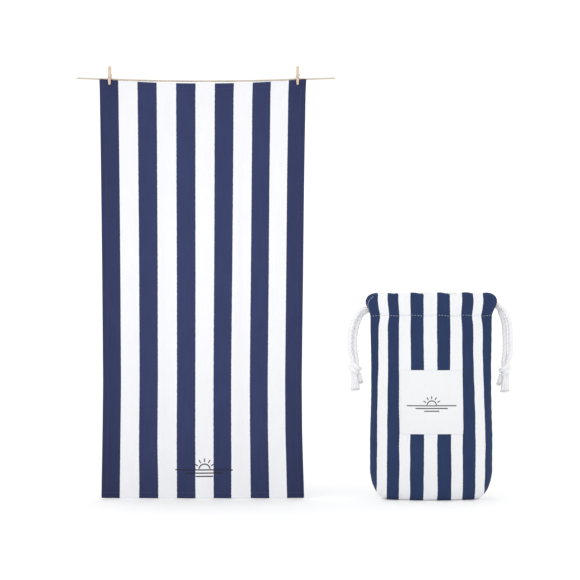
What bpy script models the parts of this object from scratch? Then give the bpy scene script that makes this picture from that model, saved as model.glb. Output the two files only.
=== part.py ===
# Striped quick dry towel hung from a cord line by two wooden spring pegs,
# with its matching drawstring pouch standing beside it.
# Units are metres, +Z is up, and the towel's front faces -Y.
# The origin is on the line's centre, midway along the towel.
import math

import bpy
import bmesh
from mathutils import Vector

# ---------------------------------------------------------------- sizes
# line
ROPE_R = 0.0020
ROPE_LEFT_X = -0.2418
ROPE_RIGHT_X = 0.2521
PEG_X = (-0.1786, 0.1803)
AXIS_Z = 0.0036            # height of the line where the pegs hold it
ROPE_END_Z = 0.0055

# towel
TOWEL_W = 0.400            # flat width
TOWEL_H = 0.800            # flat height
CLOTH_T = 0.0010
TOWEL_TOP_Z = 0.0040       # at the corners
TOWEL_TOP_Y = -0.0046      # middle of the cloth at the line
TOP_SAG = 0.0090           # dip of the top edge at mid width
HEM_W = 0.012
HEM_T = 0.0008
GAP = 0.0003

# pegs
PEG_W = 0.0052
PEG_TOP_Z = 0.0279
PEG_TIP_Z = -0.0075
PEG_PIVOT_Z = 0.0107
JAW_FRONT_Y = -0.0056      # inner face of the front jaw
JAW_BACK_Y = 0.0024        # inner face of the back jaw
WIRE_R = 0.00045
COIL_R = 0.0025            # to the wire's centre
COIL_TURNS = 6

# pouch
POUCH_X = 0.4352
POUCH_Z = -0.7975
HALF_W = 0.1174
NECK_Z = 0.3503            # stitch line of the cord casing
TOP_Z = 0.3925
EAR_W = 0.1245
CORNER_RX = 0.0334         # rounding of the bottom corners, seen from the front
CORNER_RZ = 0.060
BASE_D = 0.026             # half depth of the flat the pouch stands on
BODY_D = 0.0460            # largest half depth
MOUTH_D = 0.0207           # half depth at the casing
EDGE_OPEN = 0.0105         # half width of the cord slot at each side
PANEL_T = 0.0006
SEAM_GAP = 0.0004
CASING_X = 0.082           # half length of the inner casing layer
CORD_R = 0.00375
CORD_HI = 0.3775           # height of the right drawcord in the casing
CORD_LO = 0.3640           # height of the left drawcord
LABEL_HALF = 0.0611
LABEL_Z = (0.1247, 0.2453)
LABEL_T = 0.0008

NAVY = (0.042, 0.052, 0.122, 1.0)
WHITE = (0.86, 0.86, 0.88, 1.0)


# ---------------------------------------------------------------- helpers
def clear_scene():
    for ob in list(bpy.data.objects):
        bpy.data.objects.remove(ob, do_unlink=True)


def new_collection(name):
    coll = bpy.data.collections.new(name)
    bpy.context.scene.collection.children.link(coll)
    return coll


clear_scene()
PARTS = new_collection("quick_dry_towel")
GUIDES = new_collection("guides")


def material(name, colour, roughness, metallic=0.0):
    mat = bpy.data.materials.new(name)
    mat.use_nodes = True
    bsdf = mat.node_tree.nodes["Principled BSDF"]
    bsdf.inputs["Base Color"].default_value = colour
    bsdf.inputs["Roughness"].default_value = roughness
    bsdf.inputs["Metallic"].default_value = metallic
    return mat


def add_object(name, data, colour, roughness, metallic=0.0, parent=None):
    ob = bpy.data.objects.new(name, data)
    PARTS.objects.link(ob)
    data.materials.append(material(name + "_mat", colour, roughness, metallic))
    if parent is not None:
        ob.parent = parent
    return ob


def empty(name, location, parent=None):
    ob = bpy.data.objects.new(name, None)
    ob.location = location
    ob.empty_display_size = 0.01
    GUIDES.objects.link(ob)
    if parent is not None:
        ob.parent = parent
    return ob


def sheet(name, us, vs, point, thickness, offset, colour, roughness=0.9, flip=False, parent=None):
    """Open grid through point(u, v), thickened with Solidify."""
    mesh = bpy.data.meshes.new(name)
    bm = bmesh.new()
    rows = [[bm.verts.new(point(u, v)) for u in us] for v in vs]
    for j in range(len(vs) - 1):
        for i in range(len(us) - 1):
            quad = (rows[j][i], rows[j][i + 1], rows[j + 1][i + 1], rows[j + 1][i])
            bm.faces.new(tuple(reversed(quad)) if flip else quad)
    bm.to_mesh(mesh)
    bm.free()
    mesh.shade_smooth()
    ob = add_object(name, mesh, colour, roughness, 0.0, parent)
    mod = ob.modifiers.new("thickness", "SOLIDIFY")
    mod.thickness = thickness
    mod.offset = offset
    mod.use_even_offset = False
    mod.use_quality_normals = False
    return ob


def smooth_path(points, count):
    """Evenly spaced points on a centripetal spline through the route's points."""
    pts = [Vector(p) for p in points]
    ext = [pts[0] * 2 - pts[1]] + pts + [pts[-1] * 2 - pts[-2]]
    dense = []
    for k in range(1, len(ext) - 2):
        p0, p1, p2, p3 = ext[k - 1:k + 3]
        t0 = 0.0
        t1 = t0 + math.sqrt(max((p1 - p0).length, 1e-9))
        t2 = t1 + math.sqrt(max((p2 - p1).length, 1e-9))
        t3 = t2 + math.sqrt(max((p3 - p2).length, 1e-9))
        for s in range(24):
            t = t1 + (t2 - t1) * s / 24
            a1 = p0 * ((t1 - t) / (t1 - t0)) + p1 * ((t - t0) / (t1 - t0))
            a2 = p1 * ((t2 - t) / (t2 - t1)) + p2 * ((t - t1) / (t2 - t1))
            a3 = p2 * ((t3 - t) / (t3 - t2)) + p3 * ((t - t2) / (t3 - t2))
            b1 = a1 * ((t2 - t) / (t2 - t0)) + a2 * ((t - t0) / (t2 - t0))
            b2 = a2 * ((t3 - t) / (t3 - t1)) + a3 * ((t - t1) / (t3 - t1))
            dense.append(b1 * ((t2 - t) / (t2 - t1)) + b2 * ((t - t1) / (t2 - t1)))
    dense.append(pts[-1])
    lengths = [0.0]
    for a, b in zip(dense, dense[1:]):
        lengths.append(lengths[-1] + (b - a).length)
    out = []
    k = 0
    for i in range(count):
        want = lengths[-1] * i / (count - 1)
        while k < len(dense) - 2 and lengths[k + 1] < want:
            k += 1
        span = lengths[k + 1] - lengths[k]
        f = 0.0 if span <= 0 else (want - lengths[k]) / span
        out.append(dense[k].lerp(dense[k + 1], min(max(f, 0.0), 1.0)))
    return out


def tube(name, points, radius, colour, roughness, resolution=2, cyclic=False, metallic=0.0, parent=None):
    """Round wire or cord along a poly line."""
    data = bpy.data.curves.new(name, "CURVE")
    data.dimensions = "3D"
    data.bevel_depth = radius
    data.bevel_resolution = resolution
    data.use_fill_caps = not cyclic
    data.twist_mode = "MINIMUM"
    spline = data.splines.new("POLY")
    spline.points.add(len(points) - 1)
    for p, co in zip(spline.points, points):
        p.co = (co[0], co[1], co[2], 1.0)
    spline.use_cyclic_u = cyclic
    return add_object(name, data, colour, roughness, metallic, parent)


def outline(name, points, half_thickness, colour, roughness, parent=None):
    """Flat outline in the YZ plane, with its thickness along X."""
    data = bpy.data.curves.new(name, "CURVE")
    data.dimensions = "2D"
    data.fill_mode = "BOTH"
    data.extrude = half_thickness
    spline = data.splines.new("POLY")
    spline.points.add(len(points) - 1)
    for p, co in zip(spline.points, points):
        p.co = (co[0], co[1], 0.0, 1.0)
    spline.use_cyclic_u = True
    ob = add_object(name, data, colour, roughness, 0.0, parent)
    ob.rotation_euler = (math.pi / 2, 0.0, math.pi / 2)
    return ob


def steps(a, b, n):
    return [a + (b - a) * i / n for i in range(n + 1)]


def ease(x):
    x = min(max(x, 0.0), 1.0)
    return x * x * (3 - 2 * x)


# ---------------------------------------------------------------- line
def rope_z(x):
    """Sag of the line: slack between the pegs, rising to its ends."""
    left, right = PEG_X
    if left < x < right:
        mid = 0.5 * (left + right)
        half = 0.5 * (right - left)
        return AXIS_Z * ((x - mid) / half) ** 2
    end = ROPE_LEFT_X if x <= left else ROPE_RIGHT_X
    peg = left if x <= left else right
    return AXIS_Z + (ROPE_END_Z - AXIS_Z) * ease(abs((x - peg) / (end - peg)) * 0.98 + 0.02)


def make_line():
    xs = steps(ROPE_LEFT_X + 0.001, ROPE_RIGHT_X - 0.001, 48)
    pts = [(ROPE_LEFT_X, 0.0, ROPE_END_Z)]
    pts += [(x, 0.0, rope_z(x)) for x in xs]
    pts[1] = (xs[0], 0.0, ROPE_END_Z)
    pts[-1] = (xs[-1], 0.0, ROPE_END_Z)
    pts += [(ROPE_RIGHT_X, 0.0, ROPE_END_Z)]
    tube("line_rope", pts, ROPE_R, (0.60, 0.55, 0.46, 1.0), 0.9, resolution=2)


# ---------------------------------------------------------------- towel
def towel_point(u, v, off=0.0):
    """u from -1 to 1 across, v from 0 at the top edge to 1 at the bottom edge.
    off moves the point towards the back, along the cloth's thickness."""
    def base(uu, vv):
        spread = 0.9875 - 0.0235 * ease(vv / 0.35) + 0.004 * ease((vv - 0.8) / 0.2)
        x = 0.5 * TOWEL_W * uu * spread
        edge = 1.0 - abs(uu) ** 2.2
        top = TOWEL_TOP_Z - TOP_SAG * edge
        bottom = TOWEL_TOP_Z - TOWEL_H
        z = top + (bottom - top) * vv
        slack = max(0.0, AXIS_Z - rope_z(x))
        lean = TOWEL_TOP_Y * (1 - 2 * vv) - slack * (1 - ease(vv / 0.12))
        swell = ease(vv / 0.30)
        ripple = 0.0046 * math.cos(2 * math.pi * (2.9 * uu * 0.5) + 0.6 * vv + 0.35)
        ripple += 0.0022 * math.sin(2 * math.pi * (5.1 * uu * 0.5) - 1.1 * vv)
        hold = min(1.0, 0.25 + 0.75 * edge)
        return Vector((x, lean + swell * hold * ripple, z))
    p = base(u, v)
    if off:
        h = 1e-3
        du = base(u + h, v) - base(u - h, v)
        dv = base(u, v + h) - base(u, v - h)
        n = dv.cross(du)
        n.normalize()
        if n.y < 0:
            n.negate()
        p = p + n * off
    return p


TOWEL_US = steps(-1.0, 1.0, 46)
TOWEL_VS = [0.0, 0.016, 0.04, 0.09, 0.17, 0.27, 0.40, 0.55, 0.70, 0.85, 0.984, 1.0]


def make_towel(parent):
    rel = parent.location
    def at(u, v, off=0.0):
        return towel_point(u, v, off) - rel
    sheet("towel_cloth", TOWEL_US, TOWEL_VS, at, CLOTH_T, 0.0, NAVY, parent=parent)
    back = 0.5 * CLOTH_T + GAP + 0.5 * HEM_T
    hem_v = HEM_W / TOWEL_H
    hem_u = 2 * HEM_W / TOWEL_W
    us = steps(-0.998, 0.998, 46)
    sheet("towel_hem_top", us, [0.0006, hem_v], lambda u, v: at(u, v, back), HEM_T, 0.0, WHITE, parent=parent)
    sheet("towel_hem_bottom", us, [1 - hem_v, 0.9994], lambda u, v: at(u, v, back), HEM_T, 0.0, WHITE, parent=parent)
    vs = [hem_v + 0.001] + TOWEL_VS[2:-2] + [1 - hem_v - 0.001]
    for side, sign in (("left", -1), ("right", 1)):
        lo, hi = sorted((sign * 0.998, sign * (1 - hem_u)))
        sheet("towel_hem_" + side, steps(lo, hi, 2), vs, lambda u, v: at(u, v, back), HEM_T, 0.0, NAVY, parent=parent)
    front = -(0.5 * CLOTH_T + GAP + 0.00035)
    for end, v in (("top", hem_v * 0.86), ("bottom", 1 - hem_v * 0.86)):
        if end == "top":
            # the thread stops short of the pegs, where the jaws press on the cloth
            seam_us = steps(-0.86, 0.86, 38)
        else:
            seam_us = steps(-0.975, 0.975, 42)
        pts = [at(u, v, front) for u in seam_us]
        tube("towel_thread_" + end, pts, 0.00035, WHITE, 0.8, resolution=0, parent=parent)


# ---------------------------------------------------------------- pegs
def leg_outline(inner, sign):
    """Half of a spring peg seen from its side. inner is the jaw face's y and
    sign points outwards. Heights are measured from the spring's axis."""
    tip = PEG_TIP_Z - PEG_PIVOT_Z
    top = PEG_TOP_Z - PEG_PIVOT_Z
    axis_y = 0.5 * (JAW_FRONT_Y + JAW_BACK_Y)
    jaw = abs(inner - axis_y)
    notch = COIL_R + WIRE_R + GAP
    close = 0.0016
    lip = math.sqrt(notch ** 2 - close ** 2)
    pts = [(jaw + 0.0006, tip), (jaw, tip + 0.0012), (jaw, -0.0052)]
    a0 = math.atan2(-lip, close)
    a1 = math.atan2(lip, close)
    pts.append((close + 0.0006, -lip - 0.0004))
    for k in range(9):
        a = a0 + (a1 - a0) * k / 8
        pts.append((notch * math.cos(a), notch * math.sin(a)))
    pts += [(close + 0.0004, lip + 0.0006), (0.0044, top - 0.0008), (0.0050, top)]
    pts += [(0.0070, top), (0.0076, top - 0.0008), (0.0073, 0.0060), (0.0072, 0.0)]
    pts += [(0.0074, -0.0040), (0.0068, -0.0046), (0.0068, -0.0056), (0.0074, -0.0062)]
    pts += [(0.0072, -0.0090), (jaw + 0.0020, tip + 0.0010), (jaw + 0.0014, tip)]
    pts = [(sign * y, z) for y, z in pts]
    if sign > 0:
        pts.reverse()
    return pts


def make_peg(side, x, towel_axis):
    axis_y = 0.5 * (JAW_FRONT_Y + JAW_BACK_Y)
    pivot = Vector((x, axis_y, PEG_PIVOT_Z))
    hinge = empty("peg_%s_hinge" % side, pivot - towel_axis.location, towel_axis)
    wood = (0.76, 0.58, 0.38, 1.0)
    steel = (0.62, 0.62, 0.63, 1.0)
    outline("peg_%s_back_leg" % side, leg_outline(JAW_BACK_Y, 1), PEG_W / 2, wood, 0.6, hinge)
    outline("peg_%s_front_leg" % side, leg_outline(JAW_FRONT_Y, -1), PEG_W / 2, wood, 0.6, hinge)
    # coil through the notch, then the rear arm down the side and across the back leg
    half = PEG_W / 2 + 0.0009
    reach = 0.0068 + WIRE_R + GAP
    pts = []
    n = COIL_TURNS * 10
    for k in range(n + 1):
        a = 2 * math.pi * COIL_TURNS * k / n
        pts.append((half - 2 * half * k / n, -COIL_R * math.cos(a), COIL_R * math.sin(a)))
    pts += [(-half - 0.0001, COIL_R * 0.35, -COIL_R * 0.85), (-half - 0.0001, reach - 0.0016, -0.0040),
            (-half + 0.0001, reach - 0.0003, -0.0049), (-half + 0.0008, reach, -0.0051), (half - 0.0018, reach, -0.0051)]
    tube("peg_%s_spring" % side, pts[:n - 1] + pts[n + 1:], WIRE_R, steel, 0.3, resolution=1, metallic=1.0, parent=hinge)
    arm = [(half + 0.0013, -COIL_R * 0.55, -COIL_R * 0.55), (half + 0.0013, -reach + 0.0018, -0.0040),
           (half + 0.0011, -reach + 0.0003, -0.0049), (half + 0.0003, -reach, -0.0051), (-half + 0.0018, -reach, -0.0051)]
    tube("peg_%s_spring_arm" % side, arm, WIRE_R, steel, 0.3, resolution=1, metallic=1.0, parent=hinge)


# ---------------------------------------------------------------- pouch
def pouch_half_width(z):
    if z < CORNER_RZ:
        return HALF_W - CORNER_RX + CORNER_RX * math.sqrt(max(1 - (1 - z / CORNER_RZ) ** 2, 0.0))
    body = HALF_W - 0.0024 * math.sin(math.pi * min(max((z - 0.12) / 0.23, 0.0), 1.0))
    if z < NECK_Z:
        return body - 0.0009 * ease((z - 0.30) / 0.05)
    neck = HALF_W - 0.0009
    ear = neck + (EAR_W - neck) * ease((z - NECK_Z) / 0.026)
    top = min(max((z - 0.377) / (TOP_Z - 0.377), 0.0), 1.0)
    return ear - 0.0190 * (1 - math.sqrt(max(1 - top ** 2, 0.0)))


def pouch_half_depth(z):
    if z < 0.03:
        t = z / 0.03
        return BASE_D + (0.040 - BASE_D) * math.sqrt(max(1 - (1 - t) ** 2, 0.0))
    if z < 0.12:
        return 0.040 + (BODY_D - 0.040) * ease((z - 0.03) / 0.09 * 0.5 + 0.5) * 2 - (BODY_D - 0.040)
    if z < NECK_Z:
        return BODY_D + (MOUTH_D - BODY_D) * ease((z - 0.12) / (NECK_Z - 0.12))
    return MOUTH_D


def pouch_point(a, v, side, off=0.0):
    """a is the angle across from -90 to 90 degrees. v below 0.1 runs over the
    flat that the pouch stands on, and above it the height rises to the top.
    side is -1 for the front, and off moves the point inwards."""
    def base(aa, vv):
        s = math.sin(aa)
        if vv < 0.1:
            z = 0.0
            depth = BASE_D * vv / 0.1
        else:
            z = TOP_Z * ((vv - 0.1) / 0.9)
            depth = pouch_half_depth(z)
        power = 2.0 + 2.0 * ease((z - 0.31) / 0.045)
        belly = max(1 - abs(s) ** power, 0.0) ** (1 / power)
        slot = EDGE_OPEN * ease((z - NECK_Z) / 0.008)
        y = SEAM_GAP + slot + max(depth - slot, 0.0) * belly
        return Vector((POUCH_X + pouch_half_width(z) * s, side * y, POUCH_Z + z))
    p = base(a, v)
    if off:
        h = 1e-3
        lim = math.pi / 2
        du = base(min(a + h, lim), v) - base(max(a - h, -lim), v)
        dv = base(a, min(v + h, 1.0)) - base(a, v - h if v > h else 0.0)
        n = du.cross(dv) * side
        n.normalize()
        p = p + n * off
    return p


def v_of(z):
    return 0.1 + 0.9 * z / TOP_Z


POUCH_AS = [math.radians(d) for d in (-90, -84, -77, -69, -60, -50, -40, -30, -20, -10, 0,
                                      10, 20, 30, 40, 50, 60, 69, 77, 84, 90)]
POUCH_ZS = [0.003, 0.009, 0.018, 0.030, 0.045, 0.060, 0.09, 0.14, 0.19, 0.24, 0.29, 0.325,
            NECK_Z, 0.3545, 0.3585, 0.365, 0.3725, 0.380, 0.387, TOP_Z]


def make_pouch(parent):
    rel = parent.location
    vs = [0.0, 0.05, 0.1] + [v_of(z) for z in POUCH_ZS]
    for name, side in (("front", -1), ("back", 1)):
        sheet("pouch_%s_panel" % name, POUCH_AS, vs,
              lambda a, v, s=side: pouch_point(a, v, s) - rel, PANEL_T, -1.0, NAVY,
              flip=(side > 0), parent=parent)
        # inner wall of the cord tunnel, folded over from the top edge
        depth = 0.0093
        def layer(x, w, s=side):
            # w 0..1 down the inner wall, beyond 1 a short foot to the stitch line
            top = TOP_Z - PANEL_T - 0.0014
            if w <= 1.0:
                return Vector((POUCH_X + x, s * depth, POUCH_Z + top + (NECK_Z + 0.004 - top) * w)) - rel
            return Vector((POUCH_X + x, s * (depth + 0.0072 * (w - 1.0)), POUCH_Z + NECK_Z + 0.004 - 0.0035 * (w - 1.0))) - rel
        sheet("pouch_%s_casing" % name, steps(-CASING_X, CASING_X, 12), [0.0, 0.5, 0.9, 1.0, 1.5, 2.0], layer,
              0.0008, 0.0, WHITE, flip=(side > 0), parent=parent)
        line = [pouch_point(a, v_of(NECK_Z - 0.0012), side, -(GAP + 0.00045)) - rel
                for a in [math.radians(d) for d in steps(-66, 66, 28)]]
        tube("pouch_%s_casing_thread" % name, line, 0.0004, (0.8, 0.82, 0.86, 1.0), 0.8, resolution=0, parent=parent)
    # seam allowance inside the sides and the bottom, in the middle plane
    def seam(w, k):
        # w runs round the outline, k is the distance inside it
        zt = NECK_Z - 0.006
        base = Vector((POUCH_X, 0.0, POUCH_Z)) - rel
        flat = HALF_W - CORNER_RX
        inside = PANEL_T + 0.0012
        if w < 1.0:
            z = zt + (CORNER_RZ - zt) * w
            return Vector((-(pouch_half_width(z) - inside - k), 0.0, z)) + base
        if w < 2.0:
            a = math.pi / 2 * (w - 1.0)
            return Vector((-flat - (CORNER_RX - inside - k) * math.cos(a), 0.0,
                           CORNER_RZ - (CORNER_RZ - inside - k) * math.sin(a))) + base
        if w <= 3.0:
            return Vector((-flat + 2 * flat * (w - 2.0), 0.0, inside + k)) + base
        if w <= 4.0:
            a = math.pi / 2 * (w - 3.0)
            return Vector((flat + (CORNER_RX - inside - k) * math.sin(a), 0.0,
                           CORNER_RZ - (CORNER_RZ - inside - k) * math.cos(a))) + base
        z = CORNER_RZ + (zt - CORNER_RZ) * (w - 4.0)
        return Vector((pouch_half_width(z) - inside - k, 0.0, z)) + base
    ws = steps(0.0, 0.98, 7) + steps(1.0, 2.0, 6)[0:] + steps(2.0, 3.0, 8)[1:] + steps(3.0, 4.0, 6)[1:] + steps(4.02, 5.0, 7)
    sheet("pouch_inner_seam", ws, [0.0, 0.004, 0.008], seam, 0.0015, 0.0, WHITE, parent=parent)
    # label
    def patch(x, z):
        a = math.asin(x / pouch_half_width(z))
        return pouch_point(a, v_of(z), -1, -(GAP + 0.5 * LABEL_T)) - rel
    sheet("pouch_label", steps(-LABEL_HALF, LABEL_HALF, 10), steps(LABEL_Z[0], LABEL_Z[1], 8), patch,
          LABEL_T, 0.0, WHITE, parent=parent)
    inset = 0.0030
    ring = []
    x0, x1 = -LABEL_HALF + inset, LABEL_HALF - inset
    z0, z1 = LABEL_Z[0] + inset, LABEL_Z[1] - inset
    for x in steps(x0, x1, 10)[:-1]:
        ring.append((x, z0))
    for z in steps(z0, z1, 8)[:-1]:
        ring.append((x1, z))
    for x in steps(x1, x0, 10)[:-1]:
        ring.append((x, z1))
    for z in steps(z1, z0, 8)[:-1]:
        ring.append((x0, z))
    pts = []
    for x, z in ring:
        a = math.asin(x / pouch_half_width(z))
        pts.append(pouch_point(a, v_of(z), -1, -(GAP + LABEL_T + GAP + 0.0007)) - rel)
    tube("pouch_label_thread", pts, 0.0003, WHITE, 0.8, resolution=0, cyclic=True, parent=parent)


def cord_route(sign, level, knot_x, knot_z, draw_in):
    """Half loop routes of one drawcord. sign is -1 for the left cord. The cord
    leaves its knot, climbs to the side slot, runs through the front casing,
    turns round inside the far ear and comes back through the rear casing."""
    def drop(side, spread):
        # side -1 is the front strand, which hangs outermost
        out = 0.0096 if side < 0 else 0.0
        return [
            (sign * (knot_x - 0.0038 + out * 0.78), side * 0.0022, knot_z + 0.0128),
            (sign * (knot_x - 0.0012 + out), side * 0.0036, knot_z + 0.030),
            (sign * (knot_x - 0.0006 + out), side * 0.0044, knot_z + 0.058),
            (sign * (knot_x - 0.0030 + out * 1.02), side * 0.0044, level - 0.040),
            (sign * (knot_x - 0.0095 + out * 0.98), side * 0.0046, level - 0.019),
            (sign * (0.1300 + out * 0.30), side * 0.0048, level - 0.0042),
            (sign * (0.1195 - draw_in), side * 0.0051, level - 0.0004),
            (sign * (0.1060 - draw_in), side * 0.0092, level),
            (sign * (0.0900 - draw_in), side * 0.0134, level),
            (sign * (0.0790 - draw_in), side * 0.0148, level),
        ]
    front = drop(-1, 0)
    back = drop(1, 0)
    mid = [(sign * x, -0.0150, level) for x in (0.050, 0.020, -0.010, -0.040, -0.070, -0.088)]
    turn = []
    for k in range(9):
        a = math.pi * k / 8
        turn.append((-sign * (0.1010 + 0.0145 * math.sin(a)), -0.0147 * math.cos(a), level))
    ret = [(p[0], -p[1], p[2]) for p in reversed(mid)]
    return front + mid + turn + ret + list(reversed(back))


def make_cord(side, sign, level, knot_x, knot_z, draw_in, parent):
    rel = parent.location
    origin = Vector((POUCH_X, 0.0, POUCH_Z))
    colour = (0.80, 0.80, 0.82, 1.0)
    route = [origin + Vector(p) - rel for p in cord_route(sign, level, knot_x, knot_z, draw_in)]
    tube("drawcord_%s" % side, smooth_path(route, 76), CORD_R, colour, 0.9, resolution=2, parent=parent)
    # knot, a rounded lump turned from a sphere
    mesh = bpy.data.meshes.new("drawcord_%s_knot" % side)
    bm = bmesh.new()
    bmesh.ops.create_uvsphere(bm, u_segments=16, v_segments=10, radius=1.0)
    bmesh.ops.scale(bm, vec=(0.0122, 0.0100, 0.0118), verts=bm.verts)
    bm.to_mesh(mesh)
    bm.free()
    mesh.shade_smooth()
    knot = add_object("drawcord_%s_knot" % side, mesh, colour, 0.9, 0.0, parent)
    knot.location = origin + Vector((sign * knot_x, 0.0, knot_z)) - rel
    for name, out, y, length in (("outer", 0.0012, -0.0016, 0.0310), ("inner", -0.0082, 0.0018, 0.0180)):
        top = Vector((sign * (knot_x + out), y, knot_z - 0.0122))
        low = Vector((sign * (knot_x + out * 1.25 - 0.0022), y * 1.3, knot_z - 0.0122 - length))
        mid = (top + low) / 2 + Vector((sign * 0.0008, 0.0, 0.0))
        pts = smooth_path([origin + p - rel for p in (top, mid, low)], 8)
        tube("drawcord_%s_tail_%s" % (side, name), pts, CORD_R, colour, 0.9, resolution=2, parent=parent)


# ---------------------------------------------------------------- assembly
def main():
    make_line()
    towel_axis = empty("towel_swing_axis", (0.0, 0.0, AXIS_Z))
    make_towel(towel_axis)
    for side, x in (("left", PEG_X[0]), ("right", PEG_X[1])):
        make_peg(side, x, towel_axis)
    pouch = empty("pouch_base", (POUCH_X, 0.0, POUCH_Z))
    make_pouch(pouch)
    make_cord("left", -1, CORD_LO, 0.1462, 0.2495, 0.0035, pouch)
    make_cord("right", 1, CORD_HI, 0.1424, 0.2466, 0.0010, pouch)


main()
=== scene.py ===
# Looks of the striped quick dry towel, its line and pegs, and its drawstring pouch.
import math

import bpy
import bmesh
import numpy as np
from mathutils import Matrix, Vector, noise


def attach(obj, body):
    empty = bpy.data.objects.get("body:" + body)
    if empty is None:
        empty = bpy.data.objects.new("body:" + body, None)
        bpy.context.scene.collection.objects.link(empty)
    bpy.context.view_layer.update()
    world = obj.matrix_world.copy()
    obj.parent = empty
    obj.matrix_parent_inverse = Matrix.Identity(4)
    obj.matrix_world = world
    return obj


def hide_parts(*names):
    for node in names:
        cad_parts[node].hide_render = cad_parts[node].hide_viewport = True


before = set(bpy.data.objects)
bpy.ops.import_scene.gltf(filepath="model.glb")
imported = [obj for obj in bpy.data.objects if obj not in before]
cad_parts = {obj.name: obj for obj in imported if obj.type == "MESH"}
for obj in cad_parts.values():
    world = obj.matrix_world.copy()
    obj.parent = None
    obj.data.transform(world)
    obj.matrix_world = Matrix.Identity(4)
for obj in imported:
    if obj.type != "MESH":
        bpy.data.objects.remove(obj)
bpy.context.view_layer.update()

# ------------------------------------------------------------------ sizes, as in the frame
ROPE_R = 0.0020
ROPE_LEFT_X, ROPE_RIGHT_X = -0.2418, 0.2521
PEG_X = (-0.1786, 0.1803)
AXIS_Z = 0.0036
ROPE_END_Z = 0.0055
TOWEL_W, TOWEL_H = 0.400, 0.800
TOWEL_TOP_Z, TOWEL_TOP_Y, TOP_SAG = 0.0040, -0.0046, 0.0090
PEG_W = 0.0052
PEG_TOP_Z, PEG_TIP_Z, PEG_PIVOT_Z = 0.0279, -0.0075, 0.0107
JAW_FRONT_Y, JAW_BACK_Y = -0.0056, 0.0024
WIRE_R, COIL_R, COIL_TURNS = 0.00045, 0.0025, 6
POUCH_X, POUCH_Z = 0.4352, -0.7975
HALF_W, NECK_Z, TOP_Z, EAR_W = 0.1174, 0.3503, 0.3925, 0.1245
CORNER_RX, CORNER_RZ = 0.0334, 0.060
BASE_D, BODY_D, MOUTH_D, EDGE_OPEN = 0.026, 0.0460, 0.0207, 0.0105
CORD_R, CORD_HI, CORD_LO = 0.00375, 0.3775, 0.3640
LABEL_W, LABEL_SHIFT, LABEL_LOW, LABEL_TOP = 0.0593, 0.0019, 0.1266, 0.2466
STRIPES = 11
ORIGIN = Vector((POUCH_X, 0.0, POUCH_Z))

# ------------------------------------------------------------------ camera, first
cam_data = bpy.data.cameras.new("photo_camera")
cam = bpy.data.objects.new("photo_camera", cam_data)
bpy.context.scene.collection.objects.link(cam)
CAM_D = 3.6
VIEW_W = 580 * TOWEL_H / 418.8
cam.location = (0.1657, -CAM_D, -0.3989)
cam.rotation_euler = (math.pi / 2, 0.0, 0.0)
cam_data.sensor_width = 36.0
cam_data.lens = 36.0 * CAM_D / VIEW_W
cam_data.clip_start, cam_data.clip_end = 0.05, 60.0
bpy.context.scene.camera = cam


# ------------------------------------------------------------------ helpers
def ease(x):
    x = min(max(x, 0.0), 1.0)
    return x * x * (3 - 2 * x)


def steps(a, b, n):
    return [a + (b - a) * i / n for i in range(n + 1)]


def link(ob):
    bpy.context.scene.collection.objects.link(ob)
    return ob


def grid_object(name, P, UV=None, smooth=True, flip=False):
    """P is [rows][cols] of points; faces between them."""
    nv, nu = len(P), len(P[0])
    co = np.array([[tuple(p) for p in row] for row in P], dtype=np.float64).reshape(-1, 3)
    faces = []
    for j in range(nv - 1):
        for i in range(nu - 1):
            a = j * nu + i
            q = (a, a + 1, a + 1 + nu, a + nu)
            faces.append(q[::-1] if flip else q)
    me = bpy.data.meshes.new(name)
    me.from_pydata(co.tolist(), [], faces)
    if UV is not None:
        layer = me.uv_layers.new(name="cloth")
        flat = [uv for row in UV for uv in row]
        idx = np.zeros(len(me.loops), dtype=np.int64)
        me.loops.foreach_get("vertex_index", idx)
        arr = np.array(flat, dtype=np.float32)[idx]
        layer.data.foreach_set("uv", arr.ravel())
    me.update()
    if smooth:
        me.shade_smooth()
    return link(bpy.data.objects.new(name, me))


def apply_modifiers(ob):
    dg = bpy.context.evaluated_depsgraph_get()
    dg.update()
    me = bpy.data.meshes.new_from_object(ob.evaluated_get(dg), preserve_all_data_layers=True, depsgraph=dg)
    old = ob.data
    ob.modifiers.clear()
    ob.data = me
    me.name = ob.name
    if old.users == 0:
        bpy.data.meshes.remove(old)
    return ob


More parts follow.
